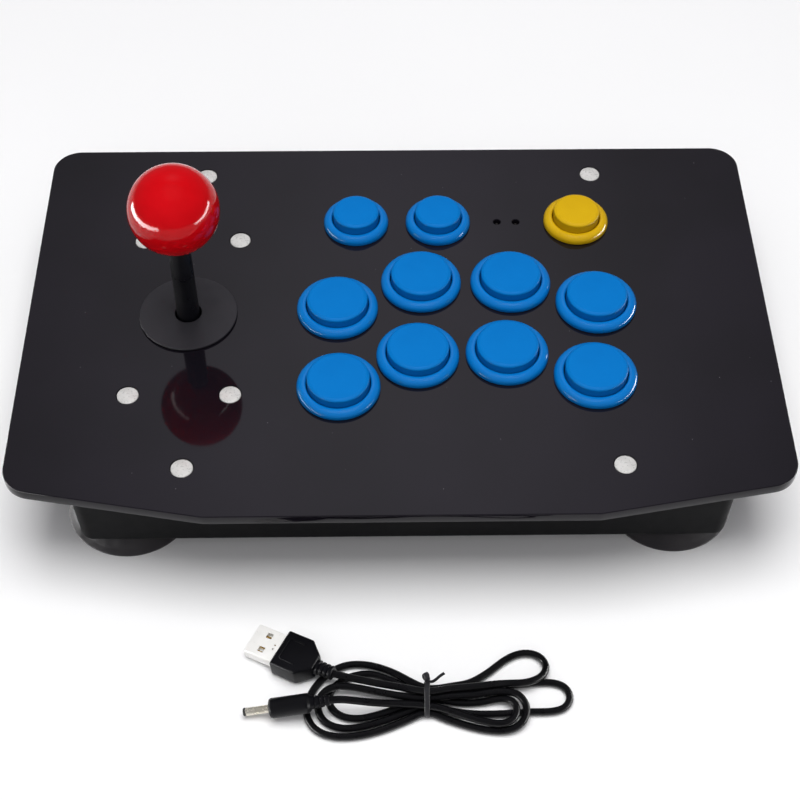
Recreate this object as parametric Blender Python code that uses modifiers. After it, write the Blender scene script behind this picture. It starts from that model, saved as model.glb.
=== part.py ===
"""Arcade joystick panel: ball-top lever, eleven push buttons and a case on suction cups.

The origin is on the table under the middle of the panel. +X points to the player's
right, +Y away from the player and +Z up. Heights are measured from the table.
"""
import math

import bmesh
import bpy
from mathutils import Euler, Matrix

MM = 0.001
GAP = 0.3 * MM                      # running gap between neighbouring pieces
WELD = 0.000002

# Panel and case
PANEL_WIDTH = 300.8 * MM
PANEL_DEPTH = 197.4 * MM
PANEL_THICKNESS = 4.5 * MM
PANEL_TOP = 48.5 * MM
PANEL_UNDER = PANEL_TOP - PANEL_THICKNESS
FRONT_FLAT_HALF = 74 * MM           # half of the straight middle of the front edge
FRONT_SWEEP = 13.8 * MM             # how far the front edge runs back towards its ends
FRONT_CORNER_RADIUS = 12 * MM
BACK_CORNER_RADIUS = 11.5 * MM
CASE_X = 1 * MM                     # the case sits a little to the right under the panel
CASE_WIDTH = 257 * MM                # at the rim
CASE_DRAFT = 0.045                   # lean of the left and right walls
CASE_FRONT = -82 * MM
CASE_BACK = 87.7 * MM
CASE_WALL = 2.5 * MM
CASE_UNDER = 8.7 * MM
CASE_RIM = PANEL_UNDER - GAP
CASE_FLOOR = CASE_UNDER + CASE_WALL
CASE_CORNER_RADIUS = 5 * MM
CASE_EDGE_RADIUS = 2.2 * MM

# Fasteners and feet
HEAD_RADIUS = 4.25 * MM
HEAD_THICKNESS = 2.1 * MM
HEAD_CROWN = 0.35 * MM
SHANK_RADIUS = 2 * MM
CASE_SCREW_X = 83.8 * MM
CASE_SCREW_FRONT = -76 * MM
CASE_SCREW_BACK = 82.6 * MM
CASE_SCREW_END = 27 * MM
BOSS_RADIUS = 4.6 * MM
NUT_RADIUS = 3.9 * MM
NUT_THICKNESS = 3 * MM
CUP_RADIUS = 25.4 * MM
CUP_X = 108.8 * MM
CUP_FRONT = -58.3 * MM
CUP_BACK = 65.4 * MM
CUP_STUD_RADIUS = 4 * MM

# Push buttons: the full-size ones take a 30 mm hole, the small ones a 24 mm hole
BUTTON_TRAVEL = 2.5 * MM
BUTTON_FLOOR = 26.8 * MM            # inside floor of a button housing
BUTTON_UNDER = 24.4 * MM
SWITCH_UNDER = 17.6 * MM
LARGE_BUTTON = {"flange": 16.55 * MM, "body": 14.75 * MM, "bore": 12.75 * MM, "lip": 51.9 * MM,
                "plunger": 12.35 * MM, "top": 55.5 * MM, "hole": 15.1 * MM}
SMALL_BUTTON = {"flange": 13.75 * MM, "body": 11.75 * MM, "bore": 10.1 * MM, "lip": 52.1 * MM,
                "plunger": 9.7 * MM, "top": 56.1 * MM, "hole": 12.1 * MM}
LARGE_BUTTON_PLACES = [
    (-24.9 * MM, 3.8 * MM), (9.4 * MM, 17.9 * MM), (46.3 * MM, 17.5 * MM), (80.7 * MM, 5.9 * MM),
    (-24.1 * MM, -37.5 * MM), (7.3 * MM, -21.9 * MM), (42.9 * MM, -20.8 * MM), (77.2 * MM, -33.0 * MM),
]
SMALL_BUTTON_PLACES = [(-17.5 * MM, 53.0 * MM), (17.3 * MM, 52.9 * MM), (76.1 * MM, 52.9 * MM)]
LED_PLACES = [(42.6 * MM, 53.3 * MM), (50.6 * MM, 53.2 * MM)]
LED_RADIUS = 1.15 * MM
LED_HOLE_RADIUS = 1.5 * MM

# Lever
LEVER_X = -85.4 * MM
LEVER_Y = 1.6 * MM
PIVOT_HEIGHT = 31 * MM
BALL_RADIUS = 17.6 * MM
BALL_HEIGHT = 107.8 * MM
SHAFT_RADIUS = 3.5 * MM
SHAFT_TOP = 102.5 * MM
SHAFT_END = 13.9 * MM
COVER_BORE = 3.8 * MM
COVER_FOOT = 39.6 * MM
COVER_FOOT_RADIUS = 4.75 * MM
COVER_HEAD_RADIUS = 4.3 * MM
PANEL_LEVER_HOLE = 12 * MM
WASHER_THICKNESS = 1 * MM
UPPER_WASHER = (5.4 * MM, 19.8 * MM)      # inner and outer radius
LOWER_WASHER = (7.5 * MM, 17 * MM)
PLATE_THICKNESS = 1.6 * MM
PLATE_TOP = PANEL_UNDER - GAP
PLATE_X = -86.4 * MM
PLATE_HALF_X = 26.5 * MM
PLATE_HALF_Y = 48.5 * MM
PLATE_SCREW_X = 20 * MM
PLATE_SCREW_Y = 42 * MM
HOUSING_HALF = 28 * MM
HOUSING_TOP = 40.4 * MM
HOUSING_UNDER = 29 * MM
PIVOT_RADIUS = 8 * MM
SOCKET_RADIUS = 8.5 * MM
BOARD_THICKNESS = 1.6 * MM
GATE_UNDER = 13 * MM
GATE_THICKNESS = 3 * MM
GATE_HOLE_HALF = 6.5 * MM
ACTUATOR_RADIUS = 5.2 * MM
ACTUATOR_TOP = 21.9 * MM
ACTUATOR_UNDER = 17 * MM
SPRING_WIRE_RADIUS = 0.45 * MM
SPRING_RADIUS = 5.1 * MM
SPRING_TURNS = 3

# Charging cable, lying in front of the panel
FLOOR_GAP = 0.2 * MM
USB_PLACE = (-46.2 * MM, -129.8 * MM, 4.2 * MM)  # middle of the front face of the moulded body
USB_HEADING = math.radians(-28)
USB_RISE = math.radians(4.9)
USB_WIDTH = 16 * MM
USB_THICKNESS = 8 * MM
USB_SHOULDER = 10.6 * MM
USB_NECK = 16 * MM
USB_RELIEF_END = 22.8 * MM
USB_RELIEF_RADIUS = 2.7 * MM
USB_SHELL = (12 * MM, 12.6 * MM, 4.5 * MM)
DC_PLACE = (-49.2 * MM, -154.0 * MM, 4.8 * MM)  # middle of the front face of the moulded body
DC_HEADING = math.radians(2)
DC_RISE = math.radians(11.5)
DC_BODY_RADIUS = 3.75 * MM
DC_BODY_LENGTH = 15.6 * MM
DC_RELIEF_LENGTH = 7 * MM
DC_BARREL_RADIUS = 1.5 * MM
DC_BARREL_LENGTH = 9.8 * MM
TIE_X = 8.6 * MM
HANK_Y = -150.3 * MM                       # middle of the hank where the tie holds it


# ---------------------------------------------------------------- tools

def srgb(red, green, blue):
    """Turn display values from 0 to 255 into linear colour."""
    def linear(value):
        value = value / 255
        return value / 12.92 if value <= 0.04045 else ((value + 0.055) / 1.055) ** 2.4
    return (linear(red), linear(green), linear(blue), 1)


def make_collection(name):
    collection = bpy.data.collections.new(name)
    bpy.context.scene.collection.children.link(collection)
    return collection


def finish_look(obj, colour, roughness, metallic=0):
    """Give an object a Principled material of its own and smooth its round faces."""
    material = bpy.data.materials.new(obj.name)
    material.use_nodes = True
    shader = material.node_tree.nodes["Principled BSDF"]
    shader.inputs["Base Color"].default_value = srgb(*colour)
    shader.inputs["Roughness"].default_value = roughness
    shader.inputs["Metallic"].default_value = metallic
    obj.data.materials.clear()
    obj.data.materials.append(material)
    if obj.type == "MESH":
        obj.data.shade_smooth()
        obj.data.set_sharp_from_angle(angle=math.radians(35))
    return obj


def add(name, data, location=(0, 0, 0)):
    obj = bpy.data.objects.new(name, data)
    obj.location = location
    PARTS.objects.link(obj)
    return obj


def mesh_from(form, name):
    mesh = bpy.data.meshes.new(name)
    form.to_mesh(mesh)
    form.free()
    return mesh


def turned(name, profile, segments, origin, closed=False):
    """Turn a profile of (radius, height) points about the vertical line through origin."""
    x, y, z = origin
    verts = [(radius, 0, height - z) for radius, height in profile]
    edges = [(i, i + 1) for i in range(len(verts) - 1)]
    if closed:
        edges.append((len(verts) - 1, 0))
    mesh = bpy.data.meshes.new(name)
    mesh.from_pydata(verts, edges, [])
    obj = add(name, mesh, (x, y, z))
    screw = obj.modifiers.new("Turn", "SCREW")
    screw.steps = segments
    screw.render_steps = segments
    screw.use_merge_vertices = True
    screw.merge_threshold = WELD
    return obj


def circle(x, y, radius, count):
    step = 2 * math.pi / count
    return [(x + radius * math.cos(i * step), y + radius * math.sin(i * step)) for i in range(count)]


def rounded(corners, steps=4):
    """Round each corner of an outline: corners are (x, y, radius), counter-clockwise."""
    points = []
    for i, (x, y, radius) in enumerate(corners):
        before, after = corners[i - 1], corners[(i + 1) % len(corners)]
        into = math.atan2(y - before[1], x - before[0])
        out = math.atan2(after[1] - y, after[0] - x)
        turn = (out - into + math.pi) % (2 * math.pi) - math.pi
        reach = radius * math.tan(turn / 2)
        start = (x - reach * math.cos(into), y - reach * math.sin(into))
        centre = (start[0] - radius * math.sin(into), start[1] + radius * math.cos(into))
        for k in range(steps + 1):
            angle = into - math.pi / 2 + turn * k / steps
            points.append((centre[0] + radius * math.cos(angle), centre[1] + radius * math.sin(angle)))
    return points


def rectangle(half_x, half_y, radius, x=0, y=0, steps=3):
    corners = [(1, 1), (-1, 1), (-1, -1), (1, -1)]
    return rounded([(x + sx * half_x, y + sy * half_y, radius) for sx, sy in corners], steps)


def smooth_loop(points, steps):
    """Closed Catmull-Rom curve through a few points."""
    count = len(points)
    loop = []
    for i in range(count):
        a, b, c, d = (points[(i + k - 1) % count] for k in range(4))
        for k in range(steps):
            t = k / steps
            loop.append(tuple(
                0.5 * (2 * b[n] + (c[n] - a[n]) * t + (2 * a[n] - 5 * b[n] + 4 * c[n] - d[n]) * t * t
                       + (3 * b[n] - a[n] - 3 * c[n] + d[n]) * t ** 3) for n in range(2)))
    return loop


def plate(name, outlines, low, high, origin=(0, 0, 0)):
    """Flat plate between two heights; the first outline is its edge and the others are holes."""
    curve = bpy.data.curves.new(name, "CURVE")
    curve.dimensions = "2D"
    curve.fill_mode = "BOTH"
    curve.extrude = (high - low) / 2
    for outline in outlines:
        spline = curve.splines.new("POLY")
        spline.points.add(len(outline) - 1)
        for point, (x, y) in zip(spline.points, outline):
            point.co = (x, y, 0, 1)
        spline.use_cyclic_u = True
    template = add(name + "_outline", curve)
    mesh = bake(template)
    mesh.transform(Matrix.Translation((0, 0, (low + high) / 2 - origin[2])))
    return add(name, mesh, origin)


def bake(template):
    """Return an object's finished shape as a plain welded mesh and remove the object."""
    bpy.context.view_layer.update()
    graph = bpy.context.evaluated_depsgraph_get()
    mesh = bpy.data.meshes.new_from_object(template.evaluated_get(graph))
    form = bmesh.new()
    form.from_mesh(mesh)
    bmesh.ops.remove_doubles(form, verts=form.verts, dist=WELD)
    form.to_mesh(mesh)
    form.free()
    bpy.data.objects.remove(template)
    return mesh


def add_cylinders(form, places, radius, low, high, segments=12):
    for x, y in places:
        bmesh.ops.create_cone(form, cap_ends=True, segments=segments, radius1=radius, radius2=radius,
                              depth=high - low, matrix=Matrix.Translation((x, y, (low + high) / 2)))


def add_box(form, low, high):
    size = [b - a for a, b in zip(low, high)]
    middle = [(a + b) / 2 for a, b in zip(low, high)]
    bmesh.ops.create_cube(form, size=1, matrix=Matrix.Translation(middle) @ Matrix.Diagonal((*size, 1)))


def boolean(target, form, operation):
    """Cut or join an object with the solids held in a bmesh, given in world coordinates."""
    tool = bpy.data.objects.new(f"{target.name}_{operation.lower()}", mesh_from(form, "tool"))
    tool.hide_render = True
    tool.display_type = "WIRE"
    CUTTERS.objects.link(tool)
    modifier = target.modifiers.new(operation.title(), "BOOLEAN")
    modifier.operation = operation
    modifier.solver = "EXACT"
    modifier.object = tool


def tube(name, points, radius, origin=(0, 0, 0)):
    """Round wire with filled ends through a list of points."""
    curve = bpy.data.curves.new(name, "CURVE")
    curve.dimensions = "3D"
    curve.bevel_depth = radius
    curve.bevel_resolution = 2
    curve.use_fill_caps = True
    spline = curve.splines.new("POLY")
    spline.points.add(len(points) - 1)
    for point, place in zip(spline.points, points):
        point.co = (*place, 1)
    return add(name, curve, origin)


# ---------------------------------------------------------------- panel and case

BLACK_ACRYLIC = (34, 31, 38)
BLACK_PLASTIC = (22, 21, 25)
SILVER = (205, 205, 200)


def case_screw_places():
    return [(CASE_X + sx * CASE_SCREW_X, y) for y in (CASE_SCREW_FRONT, CASE_SCREW_BACK) for sx in (-1, 1)]


def joystick_screw_places():
    corners = ((-1, -1), (1, -1), (-1, 1), (1, 1))
    return [(PLATE_X + sx * PLATE_SCREW_X, LEVER_Y + sy * PLATE_SCREW_Y) for sx, sy in corners]


def cup_places():
    return [(sx * CUP_X, y) for y in (CUP_FRONT, CUP_BACK) for sx in (-1, 1)]


CORNER_NAMES = ("front_left", "front_right", "back_left", "back_right")


def make_top_panel():
    half_x, half_y = PANEL_WIDTH / 2, PANEL_DEPTH / 2
    edge = rounded([
        (half_x, half_y, BACK_CORNER_RADIUS), (-half_x, half_y, BACK_CORNER_RADIUS),
        (-half_x, FRONT_SWEEP - half_y, FRONT_CORNER_RADIUS), (-FRONT_FLAT_HALF, -half_y, 10 * MM),
        (FRONT_FLAT_HALF, -half_y, 10 * MM), (half_x, FRONT_SWEEP - half_y, FRONT_CORNER_RADIUS),
    ])
    holes = [circle(x, y, LARGE_BUTTON["hole"], 16) for x, y in LARGE_BUTTON_PLACES]
    holes += [circle(x, y, SMALL_BUTTON["hole"], 16) for x, y in SMALL_BUTTON_PLACES]
    holes += [circle(x, y, LED_HOLE_RADIUS, 8) for x, y in LED_PLACES]
    holes.append(circle(LEVER_X, LEVER_Y, PANEL_LEVER_HOLE, 24))
    panel = plate("top_panel", [edge] + holes, PANEL_UNDER, PANEL_TOP)
    screw_places = case_screw_places() + joystick_screw_places()
    bores = bmesh.new()
    add_cylinders(bores, screw_places, SHANK_RADIUS + GAP, PANEL_UNDER - MM, PANEL_TOP - MM, 10)
    seats = bmesh.new()
    add_cylinders(seats, screw_places, HEAD_RADIUS + GAP, PANEL_TOP - HEAD_THICKNESS - GAP,
                  PANEL_TOP + MM, 10)
    boolean(panel, bores, "DIFFERENCE")
    boolean(panel, seats, "DIFFERENCE")
    finish_look(panel, BLACK_ACRYLIC, 0.12)


def add_drafted_box(form, inset, low, high):
    """Box inside the case's outline whose left and right sides lean outwards to the top."""
    half = CASE_WIDTH / 2 - inset
    add_box(form, (CASE_X - half, CASE_FRONT + inset, low), (CASE_X + half, CASE_BACK - inset, high))
    for vertex in form.verts:
        lean = CASE_DRAFT * (CASE_RIM - vertex.co.z)
        vertex.co.x -= math.copysign(lean, vertex.co.x - CASE_X)


def rounded_case_block():
    """Solid block with rounded upright corners and a rounded bottom edge."""
    form = bmesh.new()
    add_drafted_box(form, 0, CASE_UNDER, CASE_RIM)
    upright = [e for e in form.edges if abs(e.verts[0].co.z - e.verts[1].co.z) > CASE_WALL]
    bmesh.ops.bevel(form, geom=upright, offset=CASE_CORNER_RADIUS, segments=3, profile=0.5, affect="EDGES")
    lowest = CASE_UNDER + 0.01 * MM
    bottom = [e for e in form.edges if all(v.co.z < lowest for v in e.verts)]
    bmesh.ops.bevel(form, geom=bottom, offset=CASE_EDGE_RADIUS, segments=2, profile=0.5, affect="EDGES")
    return mesh_from(form, "bottom_case")


JACK_X = 47 * MM
JACK_HEIGHT = 33.8 * MM
JACK_NOSE_RADIUS = 3.2 * MM
CONTROL_BOARD_UNDER = 28 * MM
CONTROL_BOARD = ((32.5 * MM, 37 * MM), (60.5 * MM, 83 * MM))    # two opposite corners


def make_bottom_case():
    case = add("bottom_case", rounded_case_block())
    cavity = bmesh.new()
    add_drafted_box(cavity, CASE_WALL, CASE_FLOOR, CASE_RIM + MM)
    boolean(case, cavity, "DIFFERENCE")
    bosses = bmesh.new()
    add_cylinders(bosses, case_screw_places(), BOSS_RADIUS, CASE_UNDER + MM, CASE_RIM - 0.2 * MM, 10)
    (left, front), (right, back) = CONTROL_BOARD
    post_inset = 3.5 * MM
    post_xs = (left + post_inset, right - post_inset)
    post_ys = (front + post_inset, back - 8 * MM)
    posts = [(x, y) for x in post_xs for y in post_ys]
    add_cylinders(bosses, posts, 2.5 * MM, CASE_UNDER + MM, CONTROL_BOARD_UNDER - GAP, 8)
    boolean(case, bosses, "UNION")
    bores = bmesh.new()
    add_cylinders(bores, case_screw_places(), SHANK_RADIUS + GAP, CASE_SCREW_END - MM, CASE_RIM + MM, 10)
    add_cylinders(bores, cup_places(), CUP_STUD_RADIUS + GAP, CASE_UNDER - MM, CASE_FLOOR + MM)
    jack_hole = Matrix.Translation((JACK_X, CASE_BACK, JACK_HEIGHT)) @ Matrix.Rotation(math.pi / 2, 4, "X")
    bmesh.ops.create_cone(bores, cap_ends=True, segments=12, radius1=JACK_NOSE_RADIUS + GAP,
                          radius2=JACK_NOSE_RADIUS + GAP, depth=3 * CASE_WALL, matrix=jack_hole)
    boolean(case, bores, "DIFFERENCE")
    finish_look(case, BLACK_PLASTIC, 0.35)


def head_profile():
    return [(0, PANEL_TOP + HEAD_CROWN), (0.6 * HEAD_RADIUS, PANEL_TOP + 0.7 * HEAD_CROWN),
            (HEAD_RADIUS, PANEL_TOP - 0.3 * MM), (HEAD_RADIUS, PANEL_TOP - HEAD_THICKNESS),
            (SHANK_RADIUS, PANEL_TOP - HEAD_THICKNESS)]


def make_screws():
    point = 1.5 * MM
    case_profile = head_profile() + [(SHANK_RADIUS, CASE_SCREW_END + point), (0, CASE_SCREW_END)]
    nut_top = PLATE_TOP - PLATE_THICKNESS - GAP
    nut_under = nut_top - NUT_THICKNESS
    joystick_profile = head_profile() + [
        (SHANK_RADIUS, nut_top), (NUT_RADIUS, nut_top), (NUT_RADIUS, nut_under),
        (SHANK_RADIUS, nut_under), (SHANK_RADIUS, nut_under - MM), (0, nut_under - point)]
    for kind, profile, places in (("case_screw", case_profile, case_screw_places()),
                                  ("joystick_screw", joystick_profile, joystick_screw_places())):
        for corner, (x, y) in zip(CORNER_NAMES, places):
            screw = turned(f"{kind}_{corner}", profile, 10, (x, y, PANEL_TOP))
            finish_look(screw, SILVER, 0.3, 1)


def make_suction_cups():
    neck = CUP_STUD_RADIUS
    button = neck + 1.6 * MM            # snap head above the case floor
    profile = [
        (0, CASE_FLOOR + 4.4 * MM), (neck - MM, CASE_FLOOR + 4.2 * MM), (button, CASE_FLOOR + 1.6 * MM),
        (button, CASE_FLOOR + GAP), (neck, CASE_FLOOR + GAP), (neck, CASE_UNDER - GAP),
        (11 * MM, CASE_UNDER - GAP), (17 * MM, 6.6 * MM), (CUP_RADIUS - 2.2 * MM, 2.2 * MM),
        (CUP_RADIUS, 0.9 * MM), (CUP_RADIUS, 0), (0, 0)]
    for corner, (x, y) in zip(CORNER_NAMES, cup_places()):
        cup = turned(f"suction_cup_{corner}", profile, 16, (x, y, 0))
        finish_look(cup, (49, 51, 50), 0.4)


# ---------------------------------------------------------------- push buttons

BLUE = (15, 122, 204)
YELLOW = (228, 196, 24)


def button_housing_mesh(size):
    """Housing with its flange, bore and the snap-action switch that clips on underneath."""
    seat = PANEL_TOP + GAP
    profile = [
        (0, BUTTON_FLOOR), (size["bore"], BUTTON_FLOOR), (size["bore"], size["lip"] - 0.4 * MM),
        (size["bore"] + 0.4 * MM, size["lip"]), (size["flange"] - 1.4 * MM, size["lip"] - 0.6 * MM),
        (size["flange"], seat + 0.8 * MM), (size["flange"], seat), (size["body"], seat),
        (size["body"], BUTTON_UNDER), (0, BUTTON_UNDER)]
    housing = turned("housing_template", profile, 16, (0, 0, PANEL_TOP))
    switch = bmesh.new()
    low, high = SWITCH_UNDER - PANEL_TOP, 25.2 * MM - PANEL_TOP
    add_box(switch, (-9 * MM, -3.2 * MM, low), (9 * MM, 3.2 * MM, high))
    boolean(housing, switch, "UNION")
    tool = housing.modifiers["Union"].object
    tool.location.z = PANEL_TOP
    mesh = bake(housing)
    bpy.data.objects.remove(tool)
    return mesh


def button_plunger_mesh(size):
    """Cap with a rounded rim and a stem that presses the switch."""
    stem = 3 * MM
    profile = [
        (0, size["top"]), (size["plunger"] - 0.8 * MM, size["top"]),
        (size["plunger"], size["top"] - 0.8 * MM),
        (size["plunger"], 43 * MM), (stem, 41 * MM), (stem, BUTTON_FLOOR + BUTTON_TRAVEL + 2 * GAP),
        (0, BUTTON_FLOOR + BUTTON_TRAVEL + 2 * GAP)]
    return bake(turned("plunger_template", profile, 16, (0, 0, PANEL_TOP)))


def make_buttons():
    for prefix, size, places in (("", LARGE_BUTTON, LARGE_BUTTON_PLACES),
                                 ("small_", SMALL_BUTTON, SMALL_BUTTON_PLACES)):
        housing_mesh = button_housing_mesh(size)
        plunger_mesh = button_plunger_mesh(size)
        for number, (x, y) in enumerate(places, 1):
            yellow = prefix == "small_" and number == len(places)
            for piece, mesh in (("housing", housing_mesh), ("plunger", plunger_mesh)):
                obj = add(f"{prefix}button_{piece}_{number}", mesh.copy(), (x, y, PANEL_TOP))
                finish_look(obj, YELLOW if yellow else BLUE, 0.25)


# ---------------------------------------------------------------- lever

PIVOT = (LEVER_X, LEVER_Y, PIVOT_HEIGHT)


def sphere_arc(radius, centre, first, last, steps):
    """Points of a half circle's stretch, from angle first to angle last above the equator."""
    angles = [math.radians(first + (last - first) * i / steps) for i in range(steps + 1)]
    return [(radius * math.cos(a), centre + radius * math.sin(a)) for a in angles]


def make_lever():
    """Pieces that tilt with the lever; their origins are at its pivot."""
    holder = bpy.data.objects.new("lever_pivot", None)
    holder.location = PIVOT
    PARTS.objects.link(holder)
    rim_angle = -math.degrees(math.acos(4.6 * MM / BALL_RADIUS))
    ball_profile = [(0, BALL_HEIGHT + BALL_RADIUS)]
    ball_profile += sphere_arc(BALL_RADIUS, BALL_HEIGHT, 78, rim_angle, 12)
    ball_foot = ball_profile[-1][1]
    ball_profile += [(COVER_BORE, ball_foot), (COVER_BORE, SHAFT_TOP + GAP), (0, SHAFT_TOP + GAP)]
    ball = turned("lever_ball", ball_profile, 24, PIVOT)
    finish_look(ball, (190, 20, 28), 0.1)

    shaft_profile = [
        (0, SHAFT_TOP), (SHAFT_RADIUS - 0.6 * MM, SHAFT_TOP), (SHAFT_RADIUS, SHAFT_TOP - MM),
        (SHAFT_RADIUS, SHAFT_END + MM), (SHAFT_RADIUS - 0.9 * MM, SHAFT_END), (0, SHAFT_END)]
    shaft = turned("lever_shaft", shaft_profile, 12, PIVOT)
    finish_look(shaft, (190, 190, 192), 0.25, 1)

    cover_top = ball_foot - GAP
    cover_profile = [(COVER_BORE, cover_top), (COVER_HEAD_RADIUS, cover_top),
                     (COVER_FOOT_RADIUS, COVER_FOOT), (COVER_BORE, COVER_FOOT)]
    cover = turned("shaft_cover", cover_profile, 12, PIVOT, closed=True)
    finish_look(cover, (26, 26, 32), 0.2)

    actuator_profile = [
        (COVER_BORE, ACTUATOR_TOP), (ACTUATOR_RADIUS, ACTUATOR_TOP),
        (ACTUATOR_RADIUS, ACTUATOR_UNDER), (COVER_BORE, ACTUATOR_UNDER)]
    actuator = turned("actuator", actuator_profile, 12, PIVOT, closed=True)
    finish_look(actuator, (225, 225, 222), 0.4)

    bottom = ACTUATOR_TOP + GAP + SPRING_WIRE_RADIUS - PIVOT_HEIGHT
    top = 27 * MM - SPRING_WIRE_RADIUS - PIVOT_HEIGHT
    count = 8 * SPRING_TURNS
    coil = []
    for i in range(count + 1):
        angle = 2 * math.pi * SPRING_TURNS * i / count
        height = bottom + (top - bottom) * i / count
        coil.append((SPRING_RADIUS * math.cos(angle), SPRING_RADIUS * math.sin(angle), height))
    spring = tube("return_spring", coil, SPRING_WIRE_RADIUS, PIVOT)
    finish_look(spring, (180, 182, 185), 0.3, 1)
    for piece in (ball, shaft, cover, actuator, spring):
        piece.parent = holder
        piece.location = (0, 0, 0)


def make_pivot_ball():
    """Ball that rocks to and fro; its slot lets the lever rock sideways within it."""
    flat_top, flat_under = 35.5 * MM, 28.2 * MM
    first = math.degrees(math.asin((flat_top - PIVOT_HEIGHT) / PIVOT_RADIUS))
    last = math.degrees(math.asin((flat_under - PIVOT_HEIGHT) / PIVOT_RADIUS))
    profile = [(0, flat_top)] + sphere_arc(PIVOT_RADIUS, PIVOT_HEIGHT, first, last, 6) + [(0, flat_under)]
    ball = turned("pivot_ball", profile, 16, PIVOT)
    slot = bmesh.new()
    half_x, half_y = 4.6 * MM, SHAFT_RADIUS + 0.35 * MM
    add_box(slot, (LEVER_X - half_x, LEVER_Y - half_y, flat_under - MM),
            (LEVER_X + half_x, LEVER_Y + half_y, flat_top + MM))
    boolean(ball, slot, "DIFFERENCE")
    finish_look(ball, (30, 30, 32), 0.4)


def make_dust_washers():
    for name, (inner, outer), low in (
            ("upper_dust_washer", UPPER_WASHER, PANEL_TOP + GAP),
            ("lower_dust_washer", LOWER_WASHER, HOUSING_TOP + GAP)):
        high = low + WASHER_THICKNESS
        profile = [(inner, high), (outer, high), (outer, low), (inner, low)]
        washer = turned(name, profile, 24, (LEVER_X, LEVER_Y, low), closed=True)
        finish_look(washer, (40, 40, 43), 0.35)


def make_mounting_plate():
    outline = rectangle(PLATE_HALF_X, PLATE_HALF_Y, 5 * MM, PLATE_X, LEVER_Y)
    holes = [circle(x, y, SHANK_RADIUS + GAP, 10) for x, y in joystick_screw_places()]
    holes.append(circle(LEVER_X, LEVER_Y, 13 * MM, 16))
    steel = plate("mounting_plate", [outline] + holes, PLATE_TOP - PLATE_THICKNESS, PLATE_TOP)
    finish_look(steel, (160, 162, 165), 0.35, 1)


def make_lever_housing():
    """Block under the mounting plate with the ball socket and four posts up to the plate."""
    outline = rectangle(HOUSING_HALF, HOUSING_HALF, 4 * MM, LEVER_X, LEVER_Y)
    housing = plate("lever_housing", [outline], HOUSING_UNDER, HOUSING_TOP)
    posts = bmesh.new()
    reach = 22 * MM
    places = [(LEVER_X + sx * reach, LEVER_Y + sy * reach) for sx in (-1, 1) for sy in (-1, 1)]
    add_cylinders(posts, places, 3 * MM, HOUSING_TOP - MM, PLATE_TOP - PLATE_THICKNESS - GAP, 8)
    boolean(housing, posts, "UNION")
    neck_radius = 5.7 * MM
    mouth_radius = 8.4 * MM
    neck_angle = math.degrees(math.acos(neck_radius / SOCKET_RADIUS))
    profile = [(0, HOUSING_TOP + MM), (mouth_radius + 0.9 * MM, HOUSING_TOP + MM)]
    profile += sphere_arc(SOCKET_RADIUS, PIVOT_HEIGHT, neck_angle, 0, 4)
    profile += [(SOCKET_RADIUS, HOUSING_UNDER - MM), (0, HOUSING_UNDER - MM)]
    socket = bake(turned("socket_template", profile, 16, (0, 0, 0)))
    form = bmesh.new()
    form.from_mesh(socket)
    bmesh.ops.translate(form, verts=form.verts, vec=(LEVER_X, LEVER_Y, 0))
    boolean(housing, form, "DIFFERENCE")
    finish_look(housing, (28, 28, 30), 0.4)


def make_restrictor_gate():
    """Square gate that stops the shaft's end, on four legs."""
    outline = rectangle(HOUSING_HALF, HOUSING_HALF, 3 * MM, LEVER_X, LEVER_Y)
    hole = rectangle(GATE_HOLE_HALF, GATE_HOLE_HALF, MM, LEVER_X, LEVER_Y, 1)
    gate = plate("restrictor_gate", [outline, hole], GATE_UNDER, GATE_UNDER + GATE_THICKNESS)
    legs = bmesh.new()
    near, far = 24 * MM, 27.5 * MM
    for sx in (-1, 1):
        for sy in (-1, 1):
            xs = sorted((LEVER_X + sx * near, LEVER_X + sx * far))
            ys = sorted((LEVER_Y + sy * near, LEVER_Y + sy * far))
            add_box(legs, (xs[0], ys[0], GATE_UNDER + MM), (xs[1], ys[1], HOUSING_UNDER - GAP))
    boolean(gate, legs, "UNION")
    finish_look(gate, (235, 235, 230), 0.5)


def make_switch_board():
    """Circuit board round the lever with its four switches and connector on the underside."""
    top = HOUSING_UNDER - GAP
    under = top - BOARD_THICKNESS
    half = 23.5 * MM
    outline = rectangle(half, half, 2 * MM, LEVER_X, LEVER_Y, 2)
    hole = circle(LEVER_X, LEVER_Y, 11 * MM, 16)
    board = plate("switch_board", [outline, hole], under, top)
    switches = bmesh.new()
    near, far, long_half = 7.3 * MM, 14 * MM, 6.4 * MM
    joint = under + 0.5 * MM
    for sx, sy in ((1, 0), (-1, 0), (0, 1), (0, -1)):
        xs = sorted((near * sx, far * sx)) if sx else (-long_half, long_half)
        ys = sorted((near * sy, far * sy)) if sy else (-long_half, long_half)
        add_box(switches, (LEVER_X + xs[0], LEVER_Y + ys[0], 18.5 * MM),
                (LEVER_X + xs[1], LEVER_Y + ys[1], joint))
    add_box(switches, (LEVER_X + 16 * MM, LEVER_Y - 7 * MM, 21 * MM),
            (LEVER_X + 22 * MM, LEVER_Y + 7 * MM, joint))
    boolean(board, switches, "UNION")
    finish_look(board, (24, 70, 40), 0.5)


# ---------------------------------------------------------------- electronics

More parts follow.
